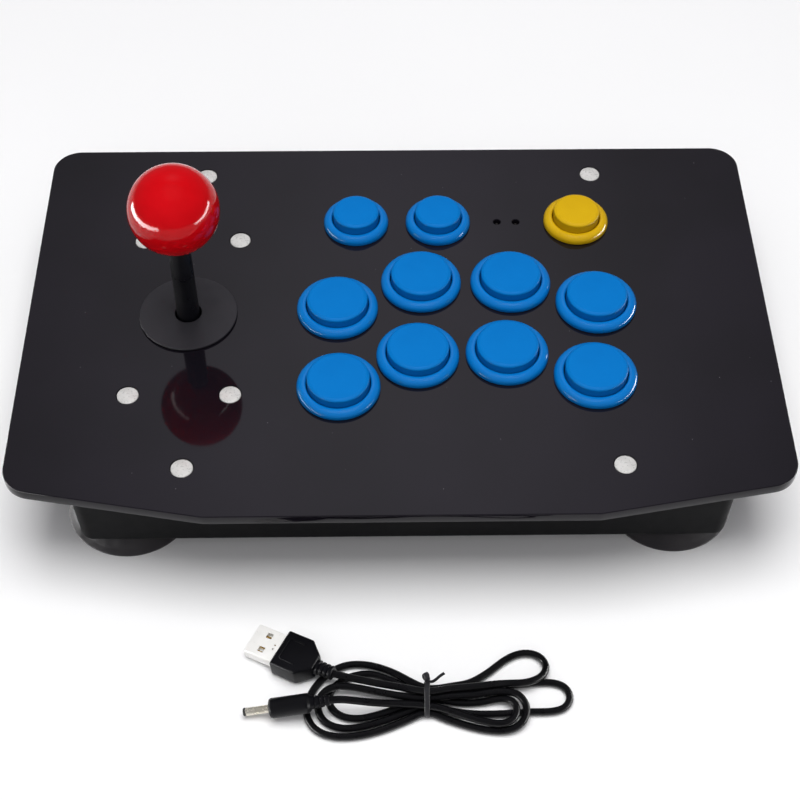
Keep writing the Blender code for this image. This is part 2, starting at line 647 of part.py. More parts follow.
def make_control_board():
    """Radio and button board with its chip, module can and cable headers."""
    (left, front), (right, back) = CONTROL_BOARD
    top = CONTROL_BOARD_UNDER + BOARD_THICKNESS
    outline = [(left, front), (right, front), (right, back), (left, back)]
    board = plate("control_board", [outline], CONTROL_BOARD_UNDER, top)
    joint = top - 0.5 * MM
    chips = bmesh.new()
    add_box(chips, (left + 4 * MM, front + 4 * MM, joint),
            (left + 13 * MM, front + 13 * MM, top + 1.4 * MM))
    add_box(chips, (right - 12 * MM, front + 3 * MM, joint),
            (right - 2 * MM, front + 14 * MM, top + 2.2 * MM))
    add_box(chips, (left + 1.5 * MM, back - 22 * MM, joint),
            (left + 6.5 * MM, back - 4 * MM, top + 5 * MM))
    boolean(board, chips, "UNION")
    finish_look(board, (20, 66, 38), 0.5)


def make_battery_pack():
    form = bmesh.new()
    add_box(form, (-76 * MM, 51.5 * MM, CASE_FLOOR + GAP), (-36 * MM, 81.5 * MM, CASE_FLOOR + 8.3 * MM))
    bmesh.ops.bevel(form, geom=form.edges[:], offset=1.5 * MM, segments=1, affect="EDGES")
    battery = add("battery_pack", mesh_from(form, "battery_pack"))
    finish_look(battery, (190, 192, 198), 0.35, 0.6)


def make_dc_jack():
    """Charging socket: a block on the control board whose round nose fills the case's back hole."""
    board_top = CONTROL_BOARD_UNDER + BOARD_THICKNESS
    block_half = 4 * MM
    nose_end = CASE_BACK - 0.2 * MM
    block_front, block_back = 71 * MM, CASE_BACK - CASE_WALL - GAP
    form = bmesh.new()
    add_box(form, (JACK_X - block_half, block_front, board_top + GAP),
            (JACK_X + block_half, block_back, JACK_HEIGHT + block_half))
    jack = add("dc_jack", mesh_from(form, "dc_jack"))
    along_y = Matrix.Rotation(math.pi / 2, 4, "X")
    nose = bmesh.new()
    nose_start = block_back - MM
    middle = Matrix.Translation((JACK_X, (nose_start + nose_end) / 2, JACK_HEIGHT))
    bmesh.ops.create_cone(nose, cap_ends=True, segments=12, radius1=JACK_NOSE_RADIUS,
                          radius2=JACK_NOSE_RADIUS, depth=nose_end - nose_start, matrix=middle @ along_y)
    boolean(jack, nose, "UNION")
    bore = bmesh.new()
    depth = 11 * MM
    middle = Matrix.Translation((JACK_X, nose_end - depth / 2 + MM, JACK_HEIGHT))
    bmesh.ops.create_cone(bore, cap_ends=True, segments=12, radius1=2.1 * MM, radius2=2.1 * MM,
                          depth=depth, matrix=middle @ along_y)
    boolean(jack, bore, "DIFFERENCE")
    finish_look(jack, (18, 18, 20), 0.4)


def make_status_leds():
    board_top = CONTROL_BOARD_UNDER + BOARD_THICKNESS
    base = 0.5 * MM
    profile = [
        (0, PANEL_TOP - 0.1 * MM), (0.6 * LED_RADIUS, PANEL_TOP - 0.4 * MM),
        (LED_RADIUS, PANEL_TOP - 1.2 * MM),
        (LED_RADIUS, 42 * MM), (LED_RADIUS + base, 42 * MM), (LED_RADIUS + base, 41 * MM),
        (0.9 * MM, 41 * MM), (0.9 * MM, board_top + GAP), (0, board_top + GAP)]
    for number, (x, y) in enumerate(LED_PLACES, 1):
        led = turned(f"status_led_{number}", profile, 8, (x, y, PANEL_TOP))
        finish_look(led, (70, 70, 74), 0.2)


# ---------------------------------------------------------------- charging cable

def make_usb_plug():
    """Flat moulded body with a metal shell; the front end rests on the table."""
    tilt = (0, -USB_RISE, USB_HEADING)
    half, neck = USB_WIDTH / 2, 3.1 * MM
    outline = [(0, half), (0, -half), (USB_SHOULDER, -half), (USB_NECK, -neck),
               (USB_NECK, neck), (USB_SHOULDER, half)]
    body = plate("usb_plug_body", [outline], -USB_THICKNESS / 2, USB_THICKNESS / 2)
    body.location = USB_PLACE
    body.rotation_euler = tilt
    chamfer = body.modifiers.new("Chamfer", "BEVEL")
    chamfer.width = 1.2 * MM
    chamfer.segments = 1
    chamfer.limit_method = "ANGLE"
    relief = bmesh.new()
    start = USB_NECK - 1.5 * MM
    along_x = Matrix.Rotation(math.pi / 2, 4, "Y")
    turn = Matrix.Translation(USB_PLACE) @ Euler(tilt).to_matrix().to_4x4()
    centre = Matrix.Translation(((start + USB_RELIEF_END) / 2, 0, 0))
    bmesh.ops.create_cone(relief, cap_ends=True, segments=12, radius1=USB_RELIEF_RADIUS,
                          radius2=USB_RELIEF_RADIUS - 0.4 * MM, depth=USB_RELIEF_END - start,
                          matrix=turn @ centre @ along_x)
    boolean(body, relief, "UNION")
    finish_look(body, (27, 27, 32), 0.45)

    length, width, thickness = USB_SHELL
    form = bmesh.new()
    add_box(form, (-length - GAP, -width / 2, -thickness / 2), (-GAP, width / 2, thickness / 2))
    shell = add("usb_plug_shell", mesh_from(form, "usb_plug_shell"), USB_PLACE)
    shell.rotation_euler = tilt
    mouth = bmesh.new()
    wall = 0.3 * MM
    add_box(mouth, (-length - MM, wall - width / 2, wall - thickness / 2),
            (-MM, width / 2 - wall, 0))
    bmesh.ops.transform(mouth, matrix=turn, verts=mouth.verts)
    boolean(shell, mouth, "DIFFERENCE")
    finish_look(shell, (215, 212, 205), 0.25, 1)


def make_dc_plug():
    """Barrel plug whose back end rests on the cable's outer loop."""
    body_profile = [
        (0, 0), (DC_BODY_RADIUS - 0.3 * MM, 0), (DC_BODY_RADIUS, -0.4 * MM),
        (DC_BODY_RADIUS, 0.8 * MM - DC_BODY_LENGTH), (2.5 * MM, -DC_BODY_LENGTH),
        (1.9 * MM, -DC_BODY_LENGTH - DC_RELIEF_LENGTH), (0, -DC_BODY_LENGTH - DC_RELIEF_LENGTH)]
    barrel_profile = [
        (0, GAP + 2 * MM), (0.6 * MM, GAP + 2 * MM), (0.6 * MM, DC_BARREL_LENGTH),
        (DC_BARREL_RADIUS, DC_BARREL_LENGTH), (DC_BARREL_RADIUS, GAP), (0, GAP)]
    body = turned("dc_plug_body", body_profile, 16, (0, 0, 0))
    barrel = turned("dc_plug_barrel", barrel_profile, 12, (0, 0, 0))
    for piece in (body, barrel):
        piece.rotation_euler = (0, -math.pi / 2 - DC_RISE, DC_HEADING)
        piece.location = DC_PLACE
    finish_look(body, (24, 24, 28), 0.5)
    finish_look(barrel, (214, 205, 170), 0.2, 1)


def make_cable_hank():
    """Outer shape of the hank: flat loops either side of the tie and the strands on top of them."""
    lower = [(-16, 19), (-25, 15.5), (-30.5, 9.6), (-37, 6), (-43, 2), (-44, -5), (-39, -13),
             (-26, -15), (-8, -11), (0, -5.9), (12, -9), (26, -13), (36, -9), (48, -6), (55, 1),
             (48, 8), (46, 17), (38, 21), (24, 13), (8, 6.2), (0, 5.8), (-6, 10)]
    upper = [(-16, -6), (0, -4.6), (14, -8), (27, -11), (36, -6), (33, 1), (14, 4), (0, 5), (-14, 6)]
    def around_tie(points):
        return [(TIE_X + x * MM, HANK_Y + y * MM) for x, y in points]
    middle = 3.2 * MM
    top = 6.4 * MM
    hank = plate("cable_hank", [smooth_loop(around_tie(lower), 3)], FLOOR_GAP, middle)
    strands = bake(plate("strands_template", [smooth_loop(around_tie(upper), 3)], middle - MM, top))
    form = bmesh.new()
    form.from_mesh(strands)
    boolean(hank, form, "UNION")
    channel = bmesh.new()
    half = 1.5 * MM
    add_box(channel, (TIE_X - half, HANK_Y - 20 * MM, -MM), (TIE_X + half, HANK_Y + 20 * MM, 1.2 * MM))
    boolean(hank, channel, "DIFFERENCE")
    finish_look(hank, (22, 22, 26), 0.4)


def make_cable_tie():
    """Flat band round the middle of the hank, with its twisted end standing at the back."""
    half_y, thickness, half_width = 6.7 * MM, 0.5 * MM, 1 * MM
    low, high = 0.5 * MM, 8.2 * MM
    middle_height = (low + high) / 2
    inner = rectangle(half_y, (high - low) / 2 - 0.1 * MM, 1.2 * MM)
    outer = rectangle(half_y + thickness, (high - low) / 2 + thickness - 0.1 * MM, 1.7 * MM)
    band = plate("cable_tie", [outer, inner], -half_width, half_width)
    band.data.transform(Matrix.Rotation(math.pi / 2, 4, "Z") @ Matrix.Rotation(math.pi / 2, 4, "X"))
    band.location = (TIE_X, HANK_Y, middle_height)
    twist = bmesh.new()
    add_box(twist, (TIE_X - 0.9 * MM, HANK_Y + 4.6 * MM, high),
            (TIE_X + 0.9 * MM, HANK_Y + 6.4 * MM, high + 4 * MM))
    boolean(band, twist, "UNION")
    finish_look(band, (30, 30, 33), 0.5)


# ---------------------------------------------------------------- assembly

for old in list(bpy.data.objects):
    bpy.data.objects.remove(old)
PARTS = make_collection("arcade_joystick_panel")
CUTTERS = make_collection("cutters")

make_top_panel()
make_bottom_case()
make_screws()
make_suction_cups()
make_buttons()
make_lever()
make_pivot_ball()
make_dust_washers()
make_mounting_plate()
make_lever_housing()
make_restrictor_gate()
make_switch_board()
make_control_board()
make_battery_pack()
make_dc_jack()
make_status_leds()
make_usb_plug()
make_dc_plug()
make_cable_hank()
make_cable_tie()
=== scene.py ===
"""Looks of the arcade joystick panel, built round its CAD frame.

Lengths in this file are in millimetres; MM turns them into Blender's metres. The frame has its
origin on the table under the middle of the panel, +X to the player's right and +Y away from
the player.
"""
import math

import bmesh
import bpy
import numpy as np
from mathutils import Matrix, Vector


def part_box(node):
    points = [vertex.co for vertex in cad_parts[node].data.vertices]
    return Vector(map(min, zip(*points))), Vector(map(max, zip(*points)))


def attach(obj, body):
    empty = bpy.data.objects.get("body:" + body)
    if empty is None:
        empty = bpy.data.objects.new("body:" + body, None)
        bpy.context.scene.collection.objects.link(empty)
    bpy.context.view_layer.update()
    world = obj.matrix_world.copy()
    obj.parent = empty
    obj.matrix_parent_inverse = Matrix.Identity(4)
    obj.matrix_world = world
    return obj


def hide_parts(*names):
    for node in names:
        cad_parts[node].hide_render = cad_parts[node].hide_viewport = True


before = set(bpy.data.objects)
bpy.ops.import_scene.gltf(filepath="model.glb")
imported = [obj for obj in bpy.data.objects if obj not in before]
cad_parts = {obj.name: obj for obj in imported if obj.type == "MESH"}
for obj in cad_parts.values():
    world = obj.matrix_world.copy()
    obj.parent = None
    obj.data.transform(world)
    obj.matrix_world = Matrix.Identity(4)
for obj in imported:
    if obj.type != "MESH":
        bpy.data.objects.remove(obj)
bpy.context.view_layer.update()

MM = 0.001

# Heights of the frame, and the clearance between neighbouring parts
PANEL_TOP = 48.5
PANEL_UNDER = 44
TABLE = 0
GAP = 0.3

# ---------------- camera

CAMERA_PLACE = (-6.81, -443.4, 544.7)
CAMERA_PITCH = 51.162                   # degrees below the horizon
CAMERA_YAW = 0.968                      # degrees towards +X
CAMERA_ROLL = 0.279
CAMERA_LENS = 73.56
SENSOR = 36


def make_camera():
    """Camera by its place, pitch, yaw and roll, at the panel's front and above it."""
    data = bpy.data.cameras.new("camera")
    data.lens = CAMERA_LENS
    data.sensor_width = SENSOR
    camera = bpy.data.objects.new("camera", data)
    bpy.context.scene.collection.objects.link(camera)
    yaw = Matrix.Rotation(-math.radians(CAMERA_YAW), 4, "Z")
    pitch = Matrix.Rotation(math.radians(90 - CAMERA_PITCH), 4, "X")
    roll = Matrix.Rotation(math.radians(CAMERA_ROLL), 4, "Z")
    camera.matrix_world = Matrix.Translation(Vector(CAMERA_PLACE) * MM) @ yaw @ pitch @ roll
    bpy.context.scene.camera = camera


# ---------------- mesh tools

def add_object(name, data, matrix=None):
    obj = bpy.data.objects.new(name, data)
    if matrix is not None:
        obj.matrix_world = matrix
    bpy.context.scene.collection.objects.link(obj)
    return obj


def at(x, y, z=0):
    return Matrix.Translation((x * MM, y * MM, z * MM))


def centre_of(node):
    """Middle of a CAD node's box in plan, in millimetres."""
    low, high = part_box(node)
    return (low.x + high.x) / 2 / MM, (low.y + high.y) / 2 / MM


def from_bmesh(name, form):
    bmesh.ops.scale(form, vec=(MM, MM, MM), verts=form.verts)
    mesh = bpy.data.meshes.new(name)
    form.to_mesh(mesh)
    form.free()
    return mesh


def shade(mesh, angle=35):
    mesh.shade_smooth()
    mesh.set_sharp_from_angle(angle=math.radians(angle))
    return mesh


def soften(profile, closed=False, steps=5, margin=0.12):
    """Round the corners of a profile of (radius, height, rounding) points, with an edge kept flat
    up to a small margin from each round."""
    points = []
    count = len(profile)
    for i, corner in enumerate(profile):
        here = Vector(corner[:2])
        rounding = corner[2] if len(corner) > 2 else 0
        if rounding == 0 or (not closed and i in (0, count - 1)):
            points.append(here)
            continue
        before = Vector(profile[i - 1][:2]) - here
        after = Vector(profile[(i + 1) % count][:2]) - here
        half = before.angle(after) / 2
        reach = min(rounding / math.tan(half), 0.46 * before.length, 0.46 * after.length)
        radius = reach * math.tan(half)
        before.normalize()
        after.normalize()
        middle = here + (before + after).normalized() * radius / math.sin(half)
        start = here + before * reach - middle
        turn = start.angle_signed(here + after * reach - middle)
        points.append(here + before * (reach + margin))
        for k in range(steps + 1):
            points.append(middle + Matrix.Rotation(-turn * k / steps, 2) @ start)
        points.append(here + after * (reach + margin))
    return [(max(p.x, 0), p.y) for p in points]


def lathe(name, profile, segments=96, closed=False, steps=5):
    """Mesh turned about Z from a profile of (radius, height, rounding) points."""
    points = soften(profile, closed, steps)
    form = bmesh.new()
    rings = []
    for k in range(segments):
        angle = 2 * math.pi * k / segments
        rings.append([form.verts.new((r * math.cos(angle), r * math.sin(angle), z)) for r, z in points])
    last = len(points) if closed else len(points) - 1
    for k in range(segments):
        ring, after = rings[k], rings[(k + 1) % segments]
        for i in range(last):
            j = (i + 1) % len(points)
            form.faces.new((ring[i], after[i], after[j], ring[j]))
    bmesh.ops.remove_doubles(form, verts=form.verts, dist=0.001)
    bmesh.ops.recalc_face_normals(form, faces=form.faces)
    return shade(from_bmesh(name, form))


def rounded_outline(corners, steps=10):
    """Outline with each corner of (x, y, rounding) turned into an arc, counter-clockwise."""
    points = []
    for i, (x, y, radius) in enumerate(corners):
        before, after = corners[i - 1], corners[(i + 1) % len(corners)]
        into = math.atan2(y - before[1], x - before[0])
        out = math.atan2(after[1] - y, after[0] - x)
        turn = (out - into + math.pi) % (2 * math.pi) - math.pi
        reach = radius * math.tan(turn / 2)
        start = (x - reach * math.cos(into), y - reach * math.sin(into))
        centre = (start[0] - radius * math.sin(into), start[1] + radius * math.cos(into))
        for k in range(steps + 1):
            angle = into - math.pi / 2 + turn * k / steps
            points.append((centre[0] + radius * math.cos(angle), centre[1] + radius * math.sin(angle)))
    return points


def ring(x, y, radius, count=64):
    return [(x + radius * math.cos(2 * math.pi * k / count),
             y + radius * math.sin(2 * math.pi * k / count)) for k in range(count)]


def plate(name, outlines, low, high, edge):
    """Flat plate with rounded arrises; the first outline is its rim and the others are holes."""
    curve = bpy.data.curves.new(name, "CURVE")
    curve.dimensions = "2D"
    curve.fill_mode = "BOTH"
    curve.extrude = ((high - low) / 2 - edge) * MM
    curve.bevel_depth = edge * MM
    curve.bevel_resolution = 3
    curve.offset = -edge * MM
    for outline in outlines:
        spline = curve.splines.new("POLY")
        spline.points.add(len(outline) - 1)
        for point, (x, y) in zip(spline.points, outline):
            point.co = (x * MM, y * MM, 0, 1)
        spline.use_cyclic_u = True
    template = add_object(name + "_outline", curve)
    mesh = baked(template, name)
    mesh.transform(at(0, 0, (low + high) / 2))
    shade(mesh)
    flatten_level_faces(mesh)
    return mesh


def flatten_level_faces(mesh):
    for face in mesh.polygons:
        if abs(face.normal.z) > 0.999:
            face.use_smooth = False


def baked(template, name):
    """Finished mesh of an object with its modifiers; the object is removed."""
    bpy.context.view_layer.update()
    graph = bpy.context.evaluated_depsgraph_get()
    mesh = bpy.data.meshes.new_from_object(template.evaluated_get(graph))
    mesh.name = name
    form = bmesh.new()
    form.from_mesh(mesh)
    bmesh.ops.remove_doubles(form, verts=form.verts, dist=0.002 * MM)
    form.to_mesh(mesh)
    form.free()
    bpy.data.objects.remove(template)
    return mesh


def box_into(form, low, high, bevel=0, segments=2):
    """Add a box between two corners, its edges rounded if a bevel is given."""
    size = [b - a for a, b in zip(low, high)]
    middle = [(a + b) / 2 for a, b in zip(low, high)]
    matrix = Matrix.Translation(middle) @ Matrix.Diagonal((*size, 1))
    made = bmesh.ops.create_cube(form, size=1, matrix=matrix)
    if bevel:
        edges = {e for v in made["verts"] for e in v.link_edges}
        round_edges(form, list(edges), bevel, segments)


def round_edges(form, edges, offset, segments):
    bmesh.ops.bevel(form, geom=edges, offset=offset, segments=segments, profile=0.5, affect="EDGES")


def rod_into(form, matrix, radius, length, segments=40):
    """Rod about the matrix's Z axis with its middle at the matrix's origin."""
    bmesh.ops.create_cone(form, cap_ends=True, segments=segments, radius1=radius, radius2=radius,
                          depth=length, matrix=matrix)


def cylinder_into(form, x, y, radius, low, high, segments=40):
    rod_into(form, Matrix.Translation((x, y, (low + high) / 2)), radius, high - low, segments)


def combined(mesh, tools):
    """Mesh after cutting or joining each (mesh, operation) tool."""
    target = add_object(mesh.name + "_work", mesh)
    cutters = []
    for tool, operation in tools:
        cutter = add_object(mesh.name + "_tool", tool)
        modifier = target.modifiers.new(operation.title(), "BOOLEAN")
        modifier.operation = operation
        modifier.solver = "EXACT"
        modifier.object = cutter
        cutters.append(cutter)
    result = baked(target, mesh.name)
    for cutter in cutters:
        bpy.data.objects.remove(cutter)
    return shade(result)


SMOOTHING_PASSES = 3


def smooth_path(points, spacing):
    """Evenly spaced points on a centripetal Catmull-Rom curve through the given ones, then evened
    out a little."""
    def mix(p, q, a, b, s):
        return ((b - s) * p + (s - a) * q) / (b - a)

    given = np.array(points, float)
    given = np.vstack([2 * given[0] - given[1], given, 2 * given[-1] - given[-2]])
    knots = np.concatenate([[0], np.cumsum(np.linalg.norm(np.diff(given, axis=0), axis=1) ** 0.5)])
    curve = []
    for i in range(1, len(given) - 2):
        p0, p1, p2, p3 = given[i - 1:i + 3]
        t0, t1, t2, t3 = knots[i - 1:i + 3]
        for s in np.linspace(t1, t2, 16, endpoint=False):
            a = mix(p0, p1, t0, t1, s)
            b = mix(p1, p2, t1, t2, s)
            c = mix(p2, p3, t2, t3, s)
            curve.append(mix(mix(a, b, t0, t2, s), mix(b, c, t1, t3, s), t1, t2, s))
    curve.append(given[-2])
    curve = np.array(curve)
    along = np.concatenate([[0], np.cumsum(np.linalg.norm(np.diff(curve, axis=0), axis=1))])
    places = np.linspace(0, along[-1], int(along[-1] / spacing) + 1)
    even = np.stack([np.interp(places, along, curve[:, k]) for k in range(3)], 1)
    for _ in range(SMOOTHING_PASSES):
        even[1:-1] = (even[:-2] + 2 * even[1:-1] + even[2:]) / 4
    return even


def wire(name, points, radius, resolution=4):
    """Round curve of a radius through the points, with closed ends."""
    curve = bpy.data.curves.new(name, "CURVE")
    curve.dimensions = "3D"
    curve.bevel_depth = radius * MM
    curve.bevel_resolution = resolution
    curve.use_fill_caps = True
    spline = curve.splines.new("POLY")
    spline.points.add(len(points) - 1)
    for point, place in zip(spline.points, points):
        point.co = (*(float(v) * MM for v in place), 1)
    return curve


# ---------------- materials

def srgb(red, green, blue):
    def linear(value):
        value = value / 255
        return value / 12.92 if value <= 0.04045 else ((value + 0.055) / 1.055) ** 2.4
    return (linear(red), linear(green), linear(blue), 1)


class Look:
    """A Principled material and the few node patterns that give it detail. Scales are per metre."""

    def __init__(self, name, colour, roughness, metallic=0, **sockets):
        self.material = bpy.data.materials.new(name)
        self.material.use_nodes = True
        self.nodes = self.material.node_tree.nodes
        self.links = self.material.node_tree.links
        self.shader = self.nodes["Principled BSDF"]
        self.place = self.nodes.new("ShaderNodeTexCoord").outputs["Object"]
        self.set("Base Color", srgb(*colour))
        self.set("Roughness", roughness)
        self.set("Metallic", metallic)
        for socket, value in sockets.items():
            self.set(socket.replace("_", " "), value)

    def set(self, socket, value):
        self.shader.inputs[socket].default_value = value

    def noise(self, scale, detail=3, stretch=(1, 1, 1)):
        mapping = self.nodes.new("ShaderNodeMapping")
        mapping.inputs["Scale"].default_value = stretch
        self.links.new(self.place, mapping.inputs["Vector"])
        noise = self.nodes.new("ShaderNodeTexNoise")
        noise.inputs["Scale"].default_value = scale
        noise.inputs["Detail"].default_value = detail
        self.links.new(mapping.outputs["Vector"], noise.inputs["Vector"])
        return noise.outputs["Fac"]

    def spots(self, scale, size):
        """1 in small round spots, one to a cell of the given scale, and 0 between them."""
        cells = self.nodes.new("ShaderNodeTexVoronoi")
        cells.inputs["Scale"].default_value = scale
        self.links.new(self.place, cells.inputs["Vector"])
        return self.range(cells.outputs["Distance"], (size, 0.6 * size), (0, 1))

    def turned(self, scale):
        """Fine rings about the piece's own Z axis, as a lathe leaves them."""
        waves = self.nodes.new("ShaderNodeTexWave")
        waves.wave_type = "RINGS"
        waves.rings_direction = "Z"
        waves.inputs["Scale"].default_value = scale
        waves.inputs["Distortion"].default_value = 1.5
        waves.inputs["Detail"].default_value = 2
        self.links.new(self.place, waves.inputs["Vector"])
        return waves.outputs["Fac"]

    def range(self, value, source, target):
        node = self.nodes.new("ShaderNodeMapRange")
        for socket, number in zip(("From Min", "From Max", "To Min", "To Max"), (*source, *target)):
            node.inputs[socket].default_value = number
        self.links.new(value, node.inputs["Value"])
        return node.outputs["Result"]

    def blend(self, factor, first, second):
        """Colour between two, each a colour or another node's output."""
        mix = self.nodes.new("ShaderNodeMix")
        mix.data_type = "RGBA"
        self.links.new(factor, mix.inputs["Factor"])
        for socket, colour in ((mix.inputs[6], first), (mix.inputs[7], second)):
            if isinstance(colour, tuple):
                socket.default_value = colour
            else:
                self.links.new(colour, socket)
        return mix.outputs[2]

    def colours(self, factor, first, second):
        colour = self.blend(factor, first, second)
        self.links.new(colour, self.shader.inputs["Base Color"])

    def mottle(self, scale, first, second):
        """Base colour that drifts softly between two."""
        drift = self.range(self.noise(scale), (0.35, 0.65), (0, 1))
        self.colours(drift, srgb(*first), srgb(*second))

    def rough(self, value, low, high):
        self.links.new(self.range(value, (0.3, 0.7), (low, high)), self.shader.inputs["Roughness"])

    def bump(self, value, depth, strength=1):
        """Relief of a depth in millimetres; later calls add to earlier ones."""
        bump = self.nodes.new("ShaderNodeBump")
        bump.inputs["Distance"].default_value = depth * MM
        bump.inputs["Strength"].default_value = strength
        self.links.new(value, bump.inputs["Height"])
        normal = self.shader.inputs["Normal"]
        if normal.links:
            self.links.new(normal.links[0].from_socket, bump.inputs["Normal"])
        self.links.new(bump.outputs["Normal"], normal)


def acrylic_look():
    """Polished black sheet with hairline scratches, a little dust and duller sawn edges."""
    look = Look("panel_black", (17, 15, 20), 0.05)
    drift = look.range(look.noise(14), (0.35, 0.65), (0, 1))
    base = look.blend(drift, srgb(14, 12, 17), srgb(21, 18, 25))
    look.colours(look.spots(130, 0.026), base, srgb(96, 94, 98))
    look.rough(look.noise(55, 5), 0.035, 0.075)
    facing = look.nodes.new("ShaderNodeSeparateXYZ")
    surface = look.nodes.new("ShaderNodeNewGeometry")
    look.links.new(surface.outputs["Normal"], facing.inputs["Vector"])
    polish = look.range(facing.outputs["Z"], (0.3, 0.9), (0.2, 0.5))
    look.links.new(polish, look.shader.inputs["Specular IOR Level"])
    look.bump(look.noise(900, 2, (1, 0.04, 1)), 0.002, 0.25)
    look.bump(look.noise(900, 2, (0.05, 1, 1)), 0.002, 0.2)
    return look.material


def moulded_look(name, first, second, roughness, grain=0.012, shine=0.5):
    """Moulded plastic: slight drift of colour, spark-eroded grain."""
    look = Look(name, first, roughness, Specular_IOR_Level=shine)
    look.mottle(40, first, second)
    look.rough(look.noise(260, 4), roughness - 0.06, roughness + 0.07)
    look.bump(look.noise(2600, 3), grain, 0.5)
    return look.material


def gloss_look(name, first, second, roughness):
    """Polished moulded plastic with a faint ripple from the mould."""
    look = Look(name, first, roughness, Specular_IOR_Level=0.4)
    look.mottle(60, first, second)
    look.rough(look.noise(180, 4), roughness - 0.04, roughness + 0.05)
    look.bump(look.noise(120, 2), 0.02, 0.18)
    return look.material


def metal_look(name, first, second, roughness, rings=0, metallic=1):
    """Metal with a slight drift of colour and, where it was turned, fine rings of a given scale."""
    look = Look(name, first, roughness, metallic)
    look.mottle(300, first, second)
    look.rough(look.noise(900, 4), roughness - 0.07, roughness + 0.1)
    if rings:
        look.bump(look.turned(rings), 0.01, 0.35)
    look.bump(look.noise(700, 2), 0.002, 0.25)
    return look.material


def board_look(name, lacquer, trace, black_above=None, black_below=None):
    """Circuit board: lacquer over copper traces, with black parts above or below given heights."""
    look = Look(name, lacquer, 0.35)
    bricks = look.nodes.new("ShaderNodeTexBrick")
    bricks.inputs["Scale"].default_value = 90
    bricks.inputs["Mortar Size"].default_value = 0.035
    bricks.inputs["Color1"].default_value = srgb(*lacquer)
    bricks.inputs["Color2"].default_value = srgb(*lacquer)
    bricks.inputs["Mortar"].default_value = srgb(*trace)
    look.links.new(look.place, bricks.inputs["Vector"])
    colour = look.blend(look.spots(320, 0.1), bricks.outputs["Color"], srgb(196, 188, 160))
    split = look.nodes.new("ShaderNodeSeparateXYZ")
    look.links.new(look.place, split.inputs["Vector"])
    for height, step in ((black_above, 0.05), (black_below, -0.05)):
        if height is not None:
            part = look.range(split.outputs["Z"], (height * MM, (height + step) * MM), (0, 1))
            colour = look.blend(part, colour, srgb(26, 26, 28))
    look.links.new(colour, look.shader.inputs["Base Color"])
    look.rough(look.noise(400), 0.3, 0.5)
    look.bump(bricks.outputs["Fac"], 0.03, 0.5)
    return look.material


def ball_look():
    """High gloss with a faint ripple and fine handling marks."""
    look = Look("ball_red", (192, 6, 14), 0.07, Specular_IOR_Level=0.17)
    look.mottle(45, (188, 5, 13), (198, 8, 18))
    look.rough(look.noise(240, 4), 0.05, 0.11)
    look.bump(look.noise(150, 2), 0.015, 0.12)
    look.bump(look.noise(1500, 2), 0.002, 0.15)
    return look.material


def cord_look():
    """Satin sheath with a fine grain."""
    look = Look("cable_black", (8, 8, 10), 0.33, Specular_IOR_Level=0.3)
    look.mottle(70, (6, 6, 8), (11, 11, 13))
    look.rough(look.noise(320, 4), 0.24, 0.42)
    look.bump(look.noise(1500, 3), 0.012, 0.5)
    return look.material


def rubber_look():
    """Soft rubber, uneven in its shine."""
    look = Look("cup_rubber", (54, 52, 54), 0.4, Specular_IOR_Level=0.35)
    look.mottle(45, (48, 46, 49), (60, 57, 59))
    look.rough(look.noise(200, 4), 0.3, 0.5)
    look.bump(look.noise(900, 3), 0.02, 0.4)
    return look.material


def wrap_look():
    """Plain silver wrap of the battery, slightly creased."""
    look = Look("battery_silver", (190, 192, 198), 0.35, 0.6)
    look.mottle(90, (176, 178, 186), (204, 206, 210))
    look.rough(look.noise(160, 4), 0.25, 0.45)
    look.bump(look.noise(180, 5), 0.15, 0.5)
    return look.material


def floor_look():
    look = Look("table", (248, 248, 248), 0.6, Specular_IOR_Level=0.2)
    look.mottle(3, (247, 247, 247), (249, 249, 249))
    look.bump(look.noise(1200, 3), 0.01, 0.2)
    return look.material


# The two colours between which each coloured part drifts
BLUE = ((1, 109, 185), (2, 114, 191))
YELLOW = ((198, 158, 10), (208, 168, 15))
LACQUER, TRACES = (18, 74, 42), (34, 104, 60)
FINISHES = {
    "case_black": (moulded_look, (6, 6, 8), (10, 10, 12), 0.36, 0.012, 0.06),
    "screw_metal": (metal_look, (212, 211, 208), (224, 223, 220), 0.3, 1500, 0.25),
    "housing_blue": (gloss_look, *BLUE, 0.16),
    "plunger_blue": (moulded_look, *BLUE, 0.36, 0.006, 0.1),
    "housing_yellow": (gloss_look, *YELLOW, 0.16),
    "plunger_yellow": (moulded_look, *YELLOW, 0.36, 0.006, 0.15),
    "shaft_steel": (metal_look, (188, 188, 190), (206, 206, 206), 0.22, 900),
    "cover_black": (gloss_look, (10, 10, 14), (17, 17, 23), 0.3),
    "washer_black": (moulded_look, (42, 41, 45), (50, 49, 53), 0.42, 0.008),
    "plate_steel": (metal_look, (160, 162, 165), (186, 188, 190), 0.34),
    "mechanism_black": (moulded_look, (24, 24, 26), (33, 33, 36), 0.4),
    "spring_steel": (metal_look, (172, 174, 178), (196, 198, 200), 0.28),
    "actuator_white": (moulded_look, (222, 222, 218), (236, 236, 232), 0.38),
    "gate_white": (moulded_look, (226, 226, 220), (240, 240, 236), 0.45),
    "led_smoke": (gloss_look, (24, 23, 24), (36, 33, 32), 0.2),
    "plug_metal": (metal_look, (246, 245, 241), (250, 249, 246), 0.34, 0, 0.12),
    "barrel_metal": (metal_look, (222, 216, 198), (232, 228, 214), 0.22, 1200, 0.7),
    "tie_black": (moulded_look, (28, 28, 31), (42, 42, 46), 0.45),
}
LOOKS = {slot: make(slot, *values) for slot, (make, *values) in FINISHES.items()}
LOOKS.update(panel_black=acrylic_look(), ball_red=ball_look(), cable_black=cord_look(),
             cup_rubber=rubber_look(), battery_silver=wrap_look())
MOULDED_PLUG = moulded_look("plug_black", (8, 8, 11), (13, 13, 17), 0.38, 0.01, 0.2)
